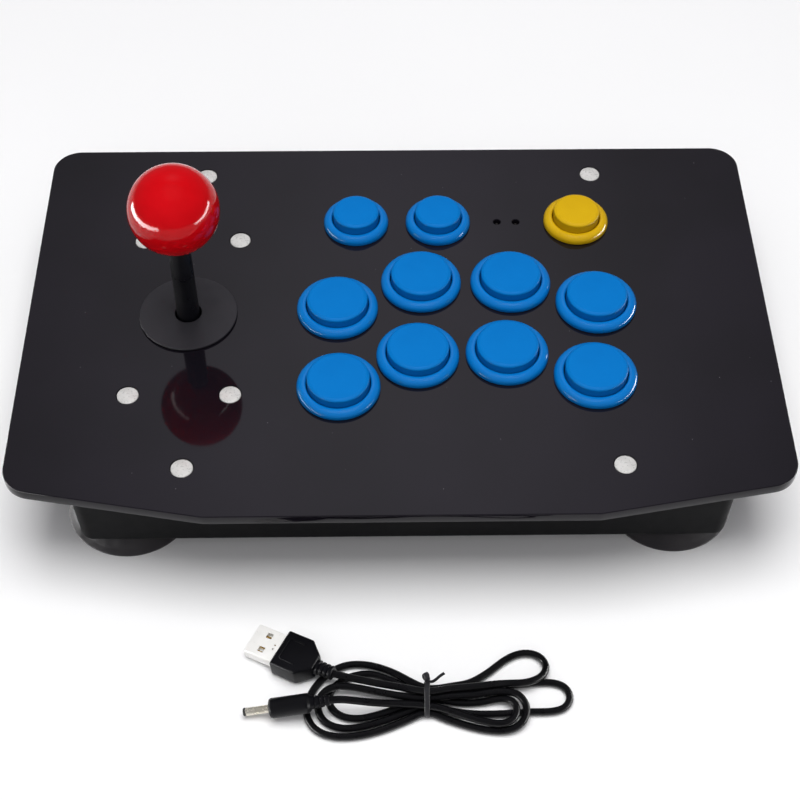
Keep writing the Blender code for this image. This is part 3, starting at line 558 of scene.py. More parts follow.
GOLD_CONTACT = metal_look("contact_gold", (214, 170, 84), (228, 190, 110), 0.25)
TERMINAL_TIN = metal_look("terminal_tin", (186, 184, 176), (208, 206, 198), 0.35)
CONTROL_BOARD = board_look("control_board_green", LACQUER, TRACES, black_above=29.7)
SWITCH_BOARD = board_look("switch_board_green", LACQUER, TRACES, black_below=27)


def piece(name, mesh, slot, body, nodes=(), matrix=None, material=None):
    """Add a shown piece: its finish, the body that it rides on and the CAD nodes it stands for."""
    obj = add_object(name, mesh, matrix)
    obj.data.materials.clear()
    obj.data.materials.append(material or LOOKS[slot])
    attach(obj, body)
    if nodes:
        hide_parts(*nodes)
    return obj


# ---------------- cable, its plugs and tie

CABLE_RADIUS = 1.4
TIE_PLACE = (8.6, -150.3)               # where the tie crosses the hank
# Each plug: the middle of its body's front face, where it heads in plan and how it rises, in degrees
USB_FACE = (-46.2, -129.8, 4.2)
USB_HEADING = -28
USB_RISE = 4.9
DC_FACE = (-49.2, -154.0, 4.8)
DC_HEADING = 2
DC_RISE = 11.5

# The cable's route from the barrel plug to the flat plug, about the tie's place; loops are named
# by their side of the tie.
ROUTE = [
    (-35.7, -2.9, 9.3), (-32, -2.9, 9.8), (-27, -3.0, 9.0), (-20, -3.0, 7.2), (-11, -2.6, 5.4),
    (0, -2.9, 4.45),
    # right, innermost
    (6, -4.4, 4.5), (12, -6.6, 4.4), (19, -9.0, 4.1), (27.6, -10.6, 4.1), (31.7, -9.0, 4.4),
    (33.4, -5.0, 4.5), (31.7, -1.0, 4.0), (27.6, 0.6, 2.7), (19, -0.6, 1.7), (10, -0.3, 1.6),
    (0, 1.4, 2.0),
    # left, innermost
    (-8, -1.4, 1.7), (-17, -4.7, 1.6), (-25.5, -6.6, 1.6), (-32, -5.4, 1.6), (-36, -1.2, 1.6),
    (-36, 4.2, 1.6), (-32.6, 8.6, 1.6), (-27, 11.4, 1.6), (-20.5, 12, 1.6), (-13, 9.0, 1.6),
    (-6, 5.8, 1.7), (0, 4.3, 2.0),
    # right, longest
    (8, 3.3, 1.7), (15, 3.1, 1.6), (23, 4.2, 1.6), (31, 6.4, 1.6), (39, 7.4, 1.6), (47.2, 7.6, 1.6),
    (51.8, 5.9, 1.6), (53.6, 1.65, 1.6), (51.8, -2.6, 1.6), (47.2, -4.3, 1.6), (38, -4.5, 1.6),
    (28, -5.2, 1.6), (16, -5.0, 1.6), (8, -3.6, 1.7), (0, -1.5, 2.0),
    # left, middle
    (-7, -3.9, 1.7), (-15, -7.2, 1.6), (-24, -9.9, 1.6), (-32, -10.4, 1.6), (-38, -7.6, 1.6),
    (-40.6, -2.2, 2.2), (-39, 2.6, 3.8), (-34.6, 5.2, 4.6), (-28, 5.0, 4.6), (-19, 3.0, 4.5),
    (-9, 1.0, 4.5), (0, 0, 4.45),
    # right, in front
    (8, 0.8, 4.6), (18, 1.3, 4.6), (27, 2.4, 4.9), (33.9, 1.2, 4.9), (36.9, -4.0, 4.4),
    (35.6, -9.0, 3.4), (31, -11.9, 2.2), (24.5, -12.1, 1.6), (16, -10.3, 1.6), (7, -7.1, 1.7),
    (0, -4.4, 2.0),
    # left, outermost
    (-8, -7.7, 1.7), (-17, -11.4, 1.6), (-26, -13.6, 1.6), (-34.5, -13.7, 1.6), (-41, -11, 1.6),
    (-44.4, -5.6, 1.6), (-44.2, 0.6, 1.6), (-41.6, 6.6, 1.6), (-37, 12, 1.6), (-30.5, 15.8, 1.6),
    (-22.5, 16, 1.6), (-14.5, 13.5, 1.7), (-9.5, 10.3, 2.7), (-4.8, 6.4, 4.4), (0, 3.9, 4.75),
    # right, at the back
    (4.6, 4.1, 4.4), (9.5, 5.5, 3.6), (16, 7.4, 2.2), (23.5, 12.2, 1.6), (30.5, 17.8, 1.6),
    (36.7, 20.4, 1.6), (42.6, 19.2, 1.8), (45.4, 14.4, 2.6), (43.6, 9.3, 3.8), (37.6, 6.2, 4.6),
    (28, 5.2, 5.7), (18, 3.7, 6.5), (8, 2.7, 6.7), (0, 1.5, 6.85),
    # to the flat plug
    (-8, 3.4, 6.4), (-17, 5.4, 6.0), (-25, 7.2, 6.1), (-30, 8.4, 6.15), (-34.7, 9.8, 6.15),
]


def plug_frame(face, heading, rise):
    """Frame at a plug's front face with +X running back along the plug to its cable."""
    turn = Matrix.Rotation(math.radians(heading), 4, "Z") @ Matrix.Rotation(-math.radians(rise), 4, "Y")
    return at(*face) @ turn


# Turns that lay a form made along Z along X or Y
ALONG_X = Matrix.Rotation(math.pi / 2, 4, "Y")
ALONG_Y = Matrix.Rotation(math.pi / 2, 4, "X")


def make_usb_body(matrix):
    """Moulded grip with bevelled shoulders, an engraved thumb panel and a ribbed strain relief."""
    half, shoulder, neck_end, neck, thick = 8, 10.6, 16, 3.1, 4
    outline = [(0, half, 0.7), (0, -half, 0.7), (shoulder, -half, 1.5), (neck_end, -neck, 1),
               (neck_end, neck, 1), (shoulder, half, 1.5)]
    body = plate("usb_plug_body_piece", [rounded_outline(outline, 4)], -thick, thick, 1.1)
    relief = [(0, 14.5), (2.9, 14.5), (2.9, 17, 0.2)]
    for start in (17.4, 19.2, 21.0):
        relief += [(2.25, start, 0.1), (2.25, start + 0.5, 0.1),
                   (2.75, start + 0.6, 0.25), (2.7, start + 1.6, 0.25)]
    relief += [(2.3, 22.9, 0.2), (1.5, 22.9), (0, 22.9)]
    rings = lathe("relief", relief, 48, steps=3)
    rings.transform(ALONG_X)
    groove_path = [(8.6, 4.6), (3.2, 4.6), (2.6, 4.0), (2.6, -4.0), (3.2, -4.6), (8.6, -4.6)]
    groove = wire("groove", [(x, y, thick) for x, y in groove_path], 0.4, 3)
    groove = baked(add_object("groove_template", groove), "groove")
    body = combined(body, [(rings, "UNION"), (groove, "DIFFERENCE")])
    piece("usb_plug_body_piece", body, "cable_black", "root", ["usb_plug_body"], matrix, MOULDED_PLUG)


def make_usb_shell(matrix):
    """Folded metal shell with two latch windows a side, open at its mouth, and the tongue in it."""
    length, half, thick, wall = 12, 6.4, 2.25, 0.3
    form = bmesh.new()
    box_into(form, (-length - GAP, -half, -thick), (-GAP, half, thick), 0.45, 3)
    shell = from_bmesh("usb_plug_shell_piece", form)
    mouth = bmesh.new()
    box_into(mouth, (-length - 1, wall - half, wall - thick),
             (-GAP - 0.8, half - wall, thick - wall), 0.25, 2)
    windows = bmesh.new()
    for side in (-1, 1):
        box_into(windows, (-7.4, side * 3.2 - 1.15, -thick - 1), (-5.0, side * 3.2 + 1.15, thick + 1), 0.3, 2)
        cylinder_into(windows, -2.3, side * 0.9 - 0.4, 0.35, 0, thick + 1, 16)
    seam = bmesh.new()
    box_into(seam, (-length - 1, -0.06, -thick - 1), (-GAP - 0.4, 0.06, -thick + wall + 0.05))
    tools = [(from_bmesh("tool", f), "DIFFERENCE") for f in (mouth, windows, seam)]
    piece("usb_plug_shell_piece", combined(shell, tools), "plug_metal", "root", ["usb_plug_shell"], matrix)
    tongue_top, contact_pitch = 0.05, 2.3
    form = bmesh.new()
    box_into(form, (-length + 0.6, -5.7, -1.75), (-1.3, 5.7, tongue_top), 0.15, 2)
    tongue = shade(from_bmesh("usb_tongue", form))
    piece("usb_tongue", tongue, "actuator_white", "root", (), matrix)
    form = bmesh.new()
    for k, reach in enumerate((0.9, 1.9, 1.9, 0.9)):
        y = (k - 1.5) * contact_pitch
        box_into(form, (-length + reach, y - 0.5, tongue_top), (-3, y + 0.5, 0.25), 0.08, 1)
    contacts = shade(from_bmesh("usb_contacts", form))
    piece("usb_contacts", contacts, "barrel_metal", "root", (), matrix, GOLD_CONTACT)


def make_dc_plug(matrix):
    """Barrel plug: smooth moulded grip, stepped strain relief, bright barrel with a dark tip ring."""
    radius, length, relief_end = 3.75, 15.6, 22.6
    profile = [(0, 0), (radius - 0.35, 0, 0.4), (radius, 0.9, 0.4), (radius, length - 1.2, 1.0),
               (2.6, length, 0.4)]
    rib_starts = (16.8, 18.6, 20.4)
    for start in rib_starts:
        width = 2.5 - 0.12 * (start - rib_starts[0])
        groove = width - 0.5
        profile += [(width, start, 0.1), (groove, start + 0.1, 0.1), (groove, start + 0.6, 0.1),
                    (width, start + 0.7, 0.1)]
    profile += [(1.95, relief_end, 0.2), (1.5, relief_end), (0, relief_end)]
    body = lathe("dc_plug_body_piece", profile[::-1], 96, steps=4)
    body.transform(ALONG_X)
    piece("dc_plug_body_piece", body, "cable_black", "root", ["dc_plug_body"], matrix, MOULDED_PLUG)
    bore, outer, tip = 0.65, 1.5, 10.1
    profile = [(0, -GAP - 2), (bore, -GAP - 2), (bore, 0.9 - tip), (outer - 0.25, 0.9 - tip, 0.05),
               (outer, 1.1 - tip, 0.1), (outer, -GAP, 0.1), (0, -GAP)]
    barrel = lathe("dc_plug_barrel_piece", profile, 64)
    barrel.transform(ALONG_X)
    piece("dc_plug_barrel_piece", barrel, "barrel_metal", "root", ["dc_plug_barrel"], matrix)
    collar_bore, seat = bore + 0.05, 0.88 - tip
    profile = [(collar_bore, seat, 0.1), (outer + 0.1, seat, 0.15), (outer + 0.02, -tip, 0.3),
               (collar_bore, -tip, 0.15)]
    collar = lathe("dc_plug_tip_ring", profile, 48, closed=True)
    collar.transform(ALONG_X)
    piece("dc_plug_tip_ring", collar, "mechanism_black", "root", (), matrix)


RIBBON_SIDES = 12


def ribbon(name, path, half_width, half_thick, across):
    """Flat band swept along a path; across is the direction that its width keeps to at the start."""
    path = [Vector(p) for p in path]
    across = Vector(across)
    form = bmesh.new()
    sections = []
    for i, here in enumerate(path):
        along = (path[min(i + 1, len(path) - 1)] - path[max(i - 1, 0)]).normalized()
        across = (across - along * across.dot(along)).normalized()
        out = along.cross(across)
        section = []
        for k in range(RIBBON_SIDES):
            angle = 2 * math.pi * k / RIBBON_SIDES
            x, y = math.cos(angle), math.sin(angle)
            wide = half_width * math.copysign(abs(x) ** 0.5, x)
            section.append(form.verts.new(here + across * wide + out * half_thick * y))
        sections.append(section)
    for a, b in zip(sections[:-1], sections[1:]):
        for k in range(RIBBON_SIDES):
            after = (k + 1) % RIBBON_SIDES
            form.faces.new((a[k], a[after], b[after], b[k]))
    form.faces.new(sections[0][::-1])
    form.faces.new(sections[-1])
    bmesh.ops.recalc_face_normals(form, faces=form.faces)
    return shade(from_bmesh(name, form), 60)


def about_the_tie(points):
    """Points given from the tie's place, moved into the frame."""
    x, y = TIE_PLACE
    return [(x + u, y + w, z) for u, w, z in points]


def make_tie():
    """Twist tie: one turn round the hank, its two ends crossed and twisted at the back."""
    round_hank = [
        (0.3, 5.2, 7.6), (0.2, 3.4, 8.4), (0, 1.4, 8.7), (0, -1.0, 8.2), (0, -3.4, 6.7), (0, -5.3, 4.9),
        (0, -6.3, 2.9), (0, -5.9, 1.1), (0, -4.4, 0.4), (0, 0, 0.3), (0, 4.4, 0.4), (0, 6.0, 1.1),
        (0, 6.4, 2.9), (0, 6.1, 4.9), (0.1, 5.5, 6.6), (0.3, 5.4, 8.0), (0.2, 6.2, 9.2),
        (-0.2, 7.6, 9.4), (-0.7, 8.3, 8.4), (-0.9, 7.6, 7.3), (-0.2, 6.2, 7.2), (0.9, 5.6, 7.4),
    ]
    tail = [(0.5, 5.3, 7.8), (2.0, 4.9, 8.0), (3.4, 5.6, 8.4), (5.0, 6.8, 9.0), (6.6, 7.6, 9.6)]
    thickness = 0.26
    for name, route, width, across, nodes in (
            ("cable_tie_band", round_hank, 1.0, (1, 0, 0), ["cable_tie"]),
            ("cable_tie_tail", tail, 0.9, (0, 0, 1), ())):
        path = smooth_path(about_the_tie(route), 0.4)
        band = ribbon(name, path, width, thickness, across)
        piece(name, band, "tie_black", "root", nodes)


def make_cable():
    """The cord in one sweep from the barrel plug's relief to the flat plug's."""
    route = smooth_path(about_the_tie(ROUTE), 1.5)
    cable = piece("charging_cable", wire("charging_cable", route, CABLE_RADIUS), "cable_black", "root",
                  ["cable_hank"])


# ---------------- panel, case, screws and cups

PANEL_HALF_X = 150.4
PANEL_HALF_Y = 98.7
FRONT_FLAT_HALF = 74
FRONT_SWEEP = 13.8
# Radii of the two sizes of button and of their holes, and the heights of lip and plunger
LARGE = {"flange": 16.55, "body": 14.75, "bore": 12.75, "plunger": 12.35, "hole": 15.1,
         "lip": 51.9, "top": 55.5}
SMALL = {"flange": 13.75, "body": 11.75, "bore": 10.1, "plunger": 9.7, "hole": 12.1,
         "lip": 52.1, "top": 56.1}
LEVER_HOLE = 12
LED_HOLE = 1.5
HEAD_RADIUS = 4.25
HEAD_THICKNESS = 2.1
SHANK_RADIUS = 2
CASE_WALL = 2.5
CASE_DRAFT = 0.045                      # lean of the left and right walls
JACK_HEIGHT = 33.8
JACK_NOSE = 3.2
CORNERS = ("front_left", "front_right", "back_left", "back_right")


def numbered(prefix, count):
    return [f"{prefix}_{number}" for number in range(1, count + 1)]


def screw_nodes():
    return [f"{kind}_{corner}" for kind in ("case_screw", "joystick_screw") for corner in CORNERS]


def make_panel():
    """Top sheet with rounded arrises, its button, lever and light holes and the screws' seats."""
    x, y = PANEL_HALF_X, PANEL_HALF_Y
    rim = rounded_outline([(x, y, 11.5), (-x, y, 11.5), (-x, FRONT_SWEEP - y, 12), (-FRONT_FLAT_HALF, -y, 10),
                           (FRONT_FLAT_HALF, -y, 10), (x, FRONT_SWEEP - y, 12)], 14)
    holes = [ring(*centre_of(node), LARGE["hole"], 72) for node in numbered("button_housing", 8)]
    holes += [ring(*centre_of(node), SMALL["hole"], 64) for node in numbered("small_button_housing", 3)]
    holes += [ring(*centre_of(node), LED_HOLE, 24) for node in numbered("status_led", 2)]
    holes.append(ring(*centre_of("lever_housing"), LEVER_HOLE, 64))
    sheet = plate("panel_sheet", [rim] + holes, PANEL_UNDER, PANEL_TOP, 0.35)
    seats = bmesh.new()
    bores = bmesh.new()
    for node in screw_nodes():
        cx, cy = centre_of(node)
        cylinder_into(seats, cx, cy, HEAD_RADIUS + GAP, PANEL_TOP - HEAD_THICKNESS - GAP, PANEL_TOP + 1)
        cylinder_into(bores, cx, cy, SHANK_RADIUS + GAP, PANEL_UNDER - 1, PANEL_TOP - 1, 32)
    tools = [(from_bmesh("tool", form), "DIFFERENCE") for form in (bores, seats)]
    sheet = combined(sheet, tools)
    flatten_level_faces(sheet)
    piece("panel_sheet", sheet, "panel_black", "root", ["top_panel"])


def lean_sides(form, low, high):
    """Lean the left and right sides of a form inwards towards the case's floor."""
    middle = (low.x + high.x) / 2
    for vertex in form.verts:
        lean = CASE_DRAFT * (high.z - vertex.co.z)
        vertex.co.x -= math.copysign(lean, vertex.co.x - middle)


def make_case():
    """Moulded tray with rounded corners, screw bosses, board posts and the openings in its walls."""
    low, high = (Vector(v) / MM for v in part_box("bottom_case"))
    wall = CASE_WALL
    block = bmesh.new()
    box_into(block, low, high)
    lean_sides(block, low, high)
    upright = [e for e in block.edges if abs(e.verts[0].co.z - e.verts[1].co.z) > wall]
    round_edges(block, upright, 5, 10)
    bottom = [e for e in block.edges if all(v.co.z < low.z + 0.01 for v in e.verts)]
    round_edges(block, bottom, 2.2, 4)
    cavity = bmesh.new()
    box_into(cavity, (low.x + wall, low.y + wall, low.z + wall),
             (high.x - wall, high.y - wall, high.z + 3), 1.2, 4)
    lean_sides(cavity, low, high)
    bosses = bmesh.new()
    bores = bmesh.new()
    for node in screw_nodes()[:4]:
        cx, cy = centre_of(node)
        cylinder_into(bosses, cx, cy, 4.6, low.z + 1, high.z - 0.2)
        cylinder_into(bores, cx, cy, SHANK_RADIUS + GAP, 26, high.z + 1, 24)
    (left, front, _), (right, back, _) = (Vector(v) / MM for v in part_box("control_board"))
    for cx in (left + 3.5, right - 3.5):
        for cy in (front + 3.5, back - 8):
            cylinder_into(bosses, cx, cy, 2.5, low.z + 1, 27.7, 24)
    for corner_name in CORNERS:
        cx, cy = centre_of("suction_cup_" + corner_name)
        cylinder_into(bores, cx, cy, 4.3, low.z - 1, low.z + wall + 1, 32)
    jack_x, _ = centre_of("dc_jack")
    jack_hole = Matrix.Translation((jack_x, high.y, JACK_HEIGHT)) @ ALONG_Y
    rod_into(bores, jack_hole, JACK_NOSE + GAP, 3 * wall)
    tools = [(from_bmesh("cavity", cavity), "DIFFERENCE"), (from_bmesh("bosses", bosses), "UNION"),
             (from_bmesh("bores", bores), "DIFFERENCE")]
    tray = combined(from_bmesh("case_tray", block), tools)
    piece("case_tray", tray, "case_black", "root", ["bottom_case"])


def make_screws():
    """Low domed heads in their counterbores; the joystick's screws carry their nuts."""
    dome = ((0, 0.35), (0.9, 0.33), (1.8, 0.27), (2.7, 0.17), (3.5, 0.03))
    head = [(radius, PANEL_TOP + rise) for radius, rise in dome]
    head += [(HEAD_RADIUS, PANEL_TOP - 0.14, 0.35), (HEAD_RADIUS, PANEL_TOP - HEAD_THICKNESS, 0.2),
             (SHANK_RADIUS, PANEL_TOP - HEAD_THICKNESS)]
    nut_top, nut_under, nut_radius = 41.8, 38.8, 3.9
    for node in screw_nodes():
        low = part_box(node)[0].z / MM
        shank = [(SHANK_RADIUS, low + 1.5, 0.3), (0, low)]
        if node.startswith("joystick"):
            nut = [(SHANK_RADIUS, nut_top), (nut_radius, nut_top, 0.4), (nut_radius, nut_under, 0.4),
                   (SHANK_RADIUS, nut_under)]
            shank = nut + shank
        x, y = centre_of(node)
        piece(node + "_piece", lathe(node, head + shank, 64), "screw_metal", "root", [node], at(x, y))


def make_cups():
    """Suction cups: snap stud, domed skirt and thin lip, hollow underneath."""
    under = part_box("bottom_case")[0].z / MM
    inside = under + CASE_WALL
    for corner in CORNERS:
        node = "suction_cup_" + corner
        profile = [
            (0, inside + 4.4), (3, inside + 4.2, 0.6), (5.6, inside + 1.6, 0.3), (5.6, inside + GAP, 0.2),
            (4, inside + GAP), (4, under - GAP), (11, under - GAP, 1.5), (15.4, 7.4, 6), (20.2, 4.6, 6),
            (23.6, 2.1, 2), (25.4, 0.95, 0.25), (25.4, 0.25, 0.2), (24.9, 0.02, 0.1), (21.2, 0.8, 3),
            (14, 3.6, 6), (6, 5.6, 4), (0, 5.9),
        ]
        x, y = centre_of(node)
        piece(node + "_piece", lathe(node, profile, 96), "cup_rubber", "root", [node], at(x, y))


# ---------------- buttons

FLANGE_SEAT = 48.8
HOUSING_FLOOR = 26.8
HOUSING_UNDER = 24.4
SWITCH_UNDER = 17.6


def housing_mesh(name, size):
    """Cup with a rounded flange, whose crown is a quarter ellipse, and a groove for its snap ring."""
    flange, body, bore, lip = size["flange"], size["body"], size["bore"], size["lip"]
    foot = FLANGE_SEAT + 0.5
    reach = flange - bore - 1
    angles = [math.radians(90 - 6 * k) for k in range(16)]
    crown = [(flange - reach + reach * math.cos(a), foot + (lip - foot) * math.sin(a)) for a in angles]
    groove = body - 0.5
    profile = [
        (0, HOUSING_FLOOR), (bore, HOUSING_FLOOR, 0.5), (bore, lip - 0.5, 0.2),
        (bore + 0.4, lip - 0.05, 0.3), *crown, (flange, FLANGE_SEAT), (body, FLANGE_SEAT),
        (body, 40.6, 0.2), (groove, 40.4, 0.1), (groove, 39.2, 0.1), (body, 39.0, 0.2),
        (body, HOUSING_UNDER, 0.8), (0, HOUSING_UNDER),
    ]
    return lathe(name, profile, 96)


def plunger_mesh(name, size):
    """Hollow cap on a stem that reaches down to the switch."""
    radius, top, stem = size["plunger"], size["top"], 3
    inside = radius - 1.6
    profile = [
        (0, top), (radius - 1.2, top - 0.02, 0.6), (radius, top - 0.6, 0.9), (radius, 43, 0.4),
        (inside, 43), (inside, 46, 0.4), (stem, 46, 0.4), (stem, 30.0, 0.3), (0, 30.0),
    ]
    return lathe(name, profile, 96)


def switch_mesh(name):
    """Snap-action switch below a housing: case with a mould line; its two blade terminals are made by
    terminal_mesh.
    """
    form = bmesh.new()
    low, high = SWITCH_UNDER + 3.4, HOUSING_UNDER - 0.05
    box_into(form, (-9, -3.2, low), (9, -0.05, high), 0.3)
    box_into(form, (-9, 0.05, low), (9, 3.2, high), 0.3)
    box_into(form, (-8.6, -0.3, SWITCH_UNDER + 3.7), (8.6, 0.3, HOUSING_UNDER - 0.3))
    return shade(from_bmesh(name, form))


def terminal_mesh(name):
    form = bmesh.new()
    for x in (-6, 2):
        box_into(form, (x - 1.6, -0.4, SWITCH_UNDER), (x + 1.6, 0.4, SWITCH_UNDER + 3.6), 0.12, 1)
    return shade(from_bmesh(name, form))


def make_buttons():
    """Housing and plunger of each button, with the switch and its terminals below."""
    for prefix, size, count in (("", LARGE, 8), ("small_", SMALL, 3)):
        for number in range(1, count + 1):
            colour = "yellow" if prefix and number == count else "blue"
            button = prefix + "button"
            housing, plunger = f"{button}_housing_{number}", f"{button}_plunger_{number}"
            place = at(*centre_of(housing))
            piece(housing + "_piece", housing_mesh(housing, size), "housing_" + colour,
                  "root", [housing], place)
            piece(f"{button}_switch_{number}", switch_mesh("switch"), "mechanism_black",
                  "root", (), place)
            piece(f"{button}_terminals_{number}", terminal_mesh("terminals"), "plate_steel",
                  "root", (), place, TERMINAL_TIN)
            piece(plunger + "_piece", plunger_mesh(plunger, size), "plunger_" + colour,
                  f"{button}_{number}", [plunger], place)


# ---------------- lever

BALL_RADIUS = 17.6
BALL_HEIGHT = 107.8
SHAFT_SOCKET = 102.8
COVER_BORE = 3.8


def arc(radius, centre, first, last, steps):
    """Points of a circle's stretch between two angles above its equator, in degrees."""
    angles = [math.radians(first + (last - first) * k / steps) for k in range(steps + 1)]
    return [(radius * math.cos(a), centre + radius * math.sin(a)) for a in angles]


def heights(node):
    """Bottom and top of a CAD node, in millimetres."""
    low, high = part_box(node)
    return low.z / MM, high.z / MM


def spring_mesh(low, high):
    """Coil of even pitch between two heights."""
    wire_radius, coil_radius, turns, steps = 0.45, 5.1, 3, 32
    count = turns * steps
    coil = []
    for k in range(count + 1):
        angle = 2 * math.pi * k / steps
        height = low + wire_radius + (high - low - 2 * wire_radius) * k / count
        coil.append((coil_radius * math.cos(angle), coil_radius * math.sin(angle), height))
    template = add_object("spring_template", wire("spring", coil, wire_radius, 3))
    return shade(baked(template, "spring"), 60)


def make_lever():
    """Ball top, shaft with its clip groove, sleeve, actuator and spring."""
    x, y = centre_of("lever_ball")
    place = at(x, y)
    foot_angle = -math.degrees(math.acos(4.9 / BALL_RADIUS))
    profile = [(0, BALL_HEIGHT + BALL_RADIUS)] + arc(BALL_RADIUS, BALL_HEIGHT, 89, foot_angle, 72)
    foot = profile[-1][1]
    profile += [(4.4, foot - 0.12), (COVER_BORE, foot + 0.3, 0.1), (COVER_BORE, SHAFT_SOCKET),
                (0, SHAFT_SOCKET)]
    piece("lever_ball_piece", lathe("ball", profile, 144), "ball_red", "lever", ["lever_ball"], place)
    low, high = heights("shaft_cover")
    profile = [(COVER_BORE, high - 0.1), (4.3, high - 0.1, 0.3), (4.75, low, 0.4), (COVER_BORE, low)]
    sleeve = lathe("sleeve", profile, 72, closed=True)
    piece("shaft_sleeve", sleeve, "cover_black", "lever", ["shaft_cover"], place)
    low, high = heights("lever_shaft")
    radius, groove = 3.5, 2.9
    profile = [(0, high), (radius, high, 0.8), (radius, 40, 0), (radius, low + 2.2),
               (groove, low + 1.9, 0.1), (groove, low + 1.2, 0.1), (radius, low + 0.9, 0.1),
               (radius - 0.2, low + 0.2, 0.3), (0, low)]
    piece("shaft_rod", lathe("rod", profile, 64), "shaft_steel", "lever", ["lever_shaft"], place)
    low, high = heights("actuator")
    profile = [(COVER_BORE, high), (5.2, high, 0.5), (5.2, low, 0.5), (COVER_BORE, low)]
    collar = lathe("ring", profile, 64, closed=True)
    piece("actuator_ring", collar, "actuator_white", "lever", ["actuator"], place)
    spring = spring_mesh(*heights("return_spring"))
    piece("spring_coil", spring, "spring_steel", "lever", ["return_spring"], place)


def make_washers():
    """Dust washers: the upper one hugs the sleeve, the lower one closes the panel's hole."""
    for node, body in (("upper_dust_washer", "upper_washer"), ("lower_dust_washer", "lower_washer")):
        low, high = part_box(node)
        outer = (high.x - low.x) / 2 / MM
        inner = 5.4 if node.startswith("upper") else 7.5
        bottom, top = low.z / MM, high.z / MM
        profile = [(inner, top, 0.2), (outer, top, 0.35), (outer, bottom, 0.2), (inner, bottom, 0.2)]
        washer = lathe(node, profile, 128, closed=True)
        piece(node + "_piece", washer, "washer_black", body, [node], at(*centre_of(node)))


# ---------------- pieces inside the case

def make_leds():
    """Small domed lights on a collar and a stem that stands on the board."""
    profile = [(0, 47.6), (0.6, 47.3, 0.4), (1.05, 46.6, 0.4), (1.15, 42), (1.7, 42, 0.1),
               (1.7, 41, 0.1), (0.9, 41), (0.9, 29.9), (0, 29.9)]
    for node in numbered("status_led", 2):
        led = lathe(node, profile, 32)
        piece(node + "_piece", led, "led_smoke", "root", [node], at(*centre_of(node)))


def make_jack():
    """Charging socket: moulded block, round nose with its bore and the pin in the middle."""
    low, high = (Vector(v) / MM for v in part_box("dc_jack"))
    middle, face, block_back = (low.x + high.x) / 2, high.y, 84.9
    form = bmesh.new()
    box_into(form, low, (high.x, block_back, high.z), 0.5, 3)
    block = from_bmesh("jack_block", form)
    nose, bore, pin = bmesh.new(), bmesh.new(), bmesh.new()
    for form, radius, start, end in (
            (nose, JACK_NOSE, block_back - 1, face), (bore, 2.1, face - 10, face + 1),
            (pin, 0.6, face - 11, face - 1.2)):
        spot = Matrix.Translation((middle, (start + end) / 2, JACK_HEIGHT)) @ ALONG_Y
        rod_into(form, spot, radius, end - start)
    block = combined(block, [(from_bmesh("nose", nose), "UNION"), (from_bmesh("bore", bore), "DIFFERENCE")])
    piece("jack_block", block, "mechanism_black", "root", ["dc_jack"])
    piece("jack_pin", shade(from_bmesh("jack_pin", pin)), "barrel_metal", "root")


def finish_inner_nodes():
    """Finishes of the CAD nodes that stay: their shapes are right as they are."""
    looks = {
        "mounting_plate": LOOKS["plate_steel"], "lever_housing": LOOKS["mechanism_black"],
        "pivot_ball": LOOKS["mechanism_black"], "restrictor_gate": LOOKS["gate_white"],
        "switch_board": SWITCH_BOARD, "control_board": CONTROL_BOARD, "battery_pack": LOOKS["battery_silver"],
    }
    for node, material in looks.items():
        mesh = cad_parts[node].data
        mesh.materials.clear()
        mesh.materials.append(material)


# ---------------- table and light

FLOOR_HALF = 4000
# Soft lights by place and size, aimed at the origin, and strips that are seen in the gloss
OVERHEADS = (
    {"name": "key", "place": (0, -60, 1500), "size": (1000, 1000), "power": 17},
    {"name": "fill", "place": (0, -500, 1500), "size": (2400, 2400), "power": 12},
    {"name": "front", "place": (0, -1100, 420), "size": (1200, 400), "power": 1},
)
STRIPS = (
    {"name": "left_strip", "place": (-400, -160, 22), "facing": (1, 0.15, 0.1), "size": (640, 75), "tilt": 0},
    {"name": "right_strip", "place": (500, -125, 40), "facing": (-1, 0, 0.05), "size": (700, 55), "tilt": 6},
)
STRIP_RADIANCE = 31
# Brightness of the room by distance, on a unit sphere, from the middle of its bright patch
BRIGHT_PATCH = (0, 0.63, 0.78)
ROOM = ((0, 0.66), (0.1, 0.56), (0.2, 0.34), (0.3, 0.19), (0.45, 0.13), (1, 0.15))


def make_floor():
    form = bmesh.new()
    bmesh.ops.create_grid(form, x_segments=1, y_segments=1, size=FLOOR_HALF)
    bmesh.ops.translate(form, verts=form.verts, vec=(0, 0, TABLE))
    floor = add_object("floor", from_bmesh("floor", form))
    floor.data.materials.append(floor_look())


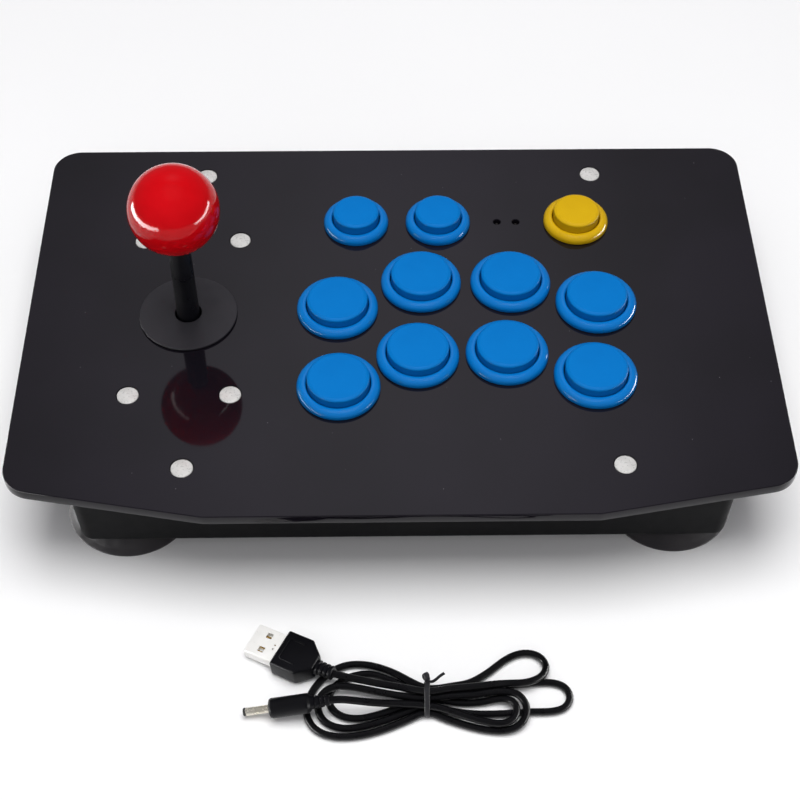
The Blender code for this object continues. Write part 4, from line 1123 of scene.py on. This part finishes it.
def area_light(name, place, facing, size, power):
    data = bpy.data.lights.new(name, "AREA")
    data.shape = "RECTANGLE"
    data.size, data.size_y = (v * MM for v in size)
    data.energy = power
    light = add_object(name, data)
    light.matrix_world = at(*place) @ Vector(facing).to_track_quat("-Z", "Y").to_matrix().to_4x4()
    light.visible_camera = False
    return light


def make_lights():
    """Wide soft lights, and two low strips that only the gloss shows."""
    for box in OVERHEADS:
        towards_panel = [-v for v in box["place"]]
        light = area_light(box["name"], box["place"], towards_panel, box["size"], box["power"])
        light.visible_glossy = False
    for strip in STRIPS:
        width, height = strip["size"]
        power = STRIP_RADIANCE * math.pi * width * height * MM * MM
        light = area_light(strip["name"], strip["place"], strip["facing"], strip["size"], power)
        light.matrix_world = light.matrix_world @ Matrix.Rotation(math.radians(strip["tilt"]), 4, "Z")
        light.visible_diffuse = False


def make_room():
    """Dim surroundings with one brighter patch behind and above."""
    world = bpy.data.worlds.new("studio")
    bpy.context.scene.world = world
    world.use_nodes = True
    nodes, links = world.node_tree.nodes, world.node_tree.links
    direction = nodes.new("ShaderNodeTexCoord").outputs["Generated"]
    away = nodes.new("ShaderNodeVectorMath")
    away.operation = "DISTANCE"
    away.inputs[1].default_value = BRIGHT_PATCH
    links.new(direction, away.inputs[0])
    ramp = nodes.new("ShaderNodeValToRGB")
    links.new(away.outputs["Value"], ramp.inputs["Fac"])
    stops = ramp.color_ramp.elements
    stops.remove(stops[1])
    for distance, level in ROOM:
        stop = stops[0] if distance == 0 else stops.new(distance)
        stop.color = (level, 0.97 * level, 1.06 * level, 1)
    links.new(ramp.outputs["Color"], nodes["Background"].inputs["Color"])


bpy.context.scene.view_settings.view_transform = "Standard"
make_camera()
make_usb_body(plug_frame(USB_FACE, USB_HEADING, USB_RISE))
make_usb_shell(plug_frame(USB_FACE, USB_HEADING, USB_RISE))
make_dc_plug(plug_frame(DC_FACE, DC_HEADING, DC_RISE))
make_tie()
make_cable()
make_panel()
make_case()
make_screws()
make_cups()
make_buttons()
make_lever()
make_washers()
make_leds()
make_jack()
finish_inner_nodes()
make_floor()
make_lights()
make_room()
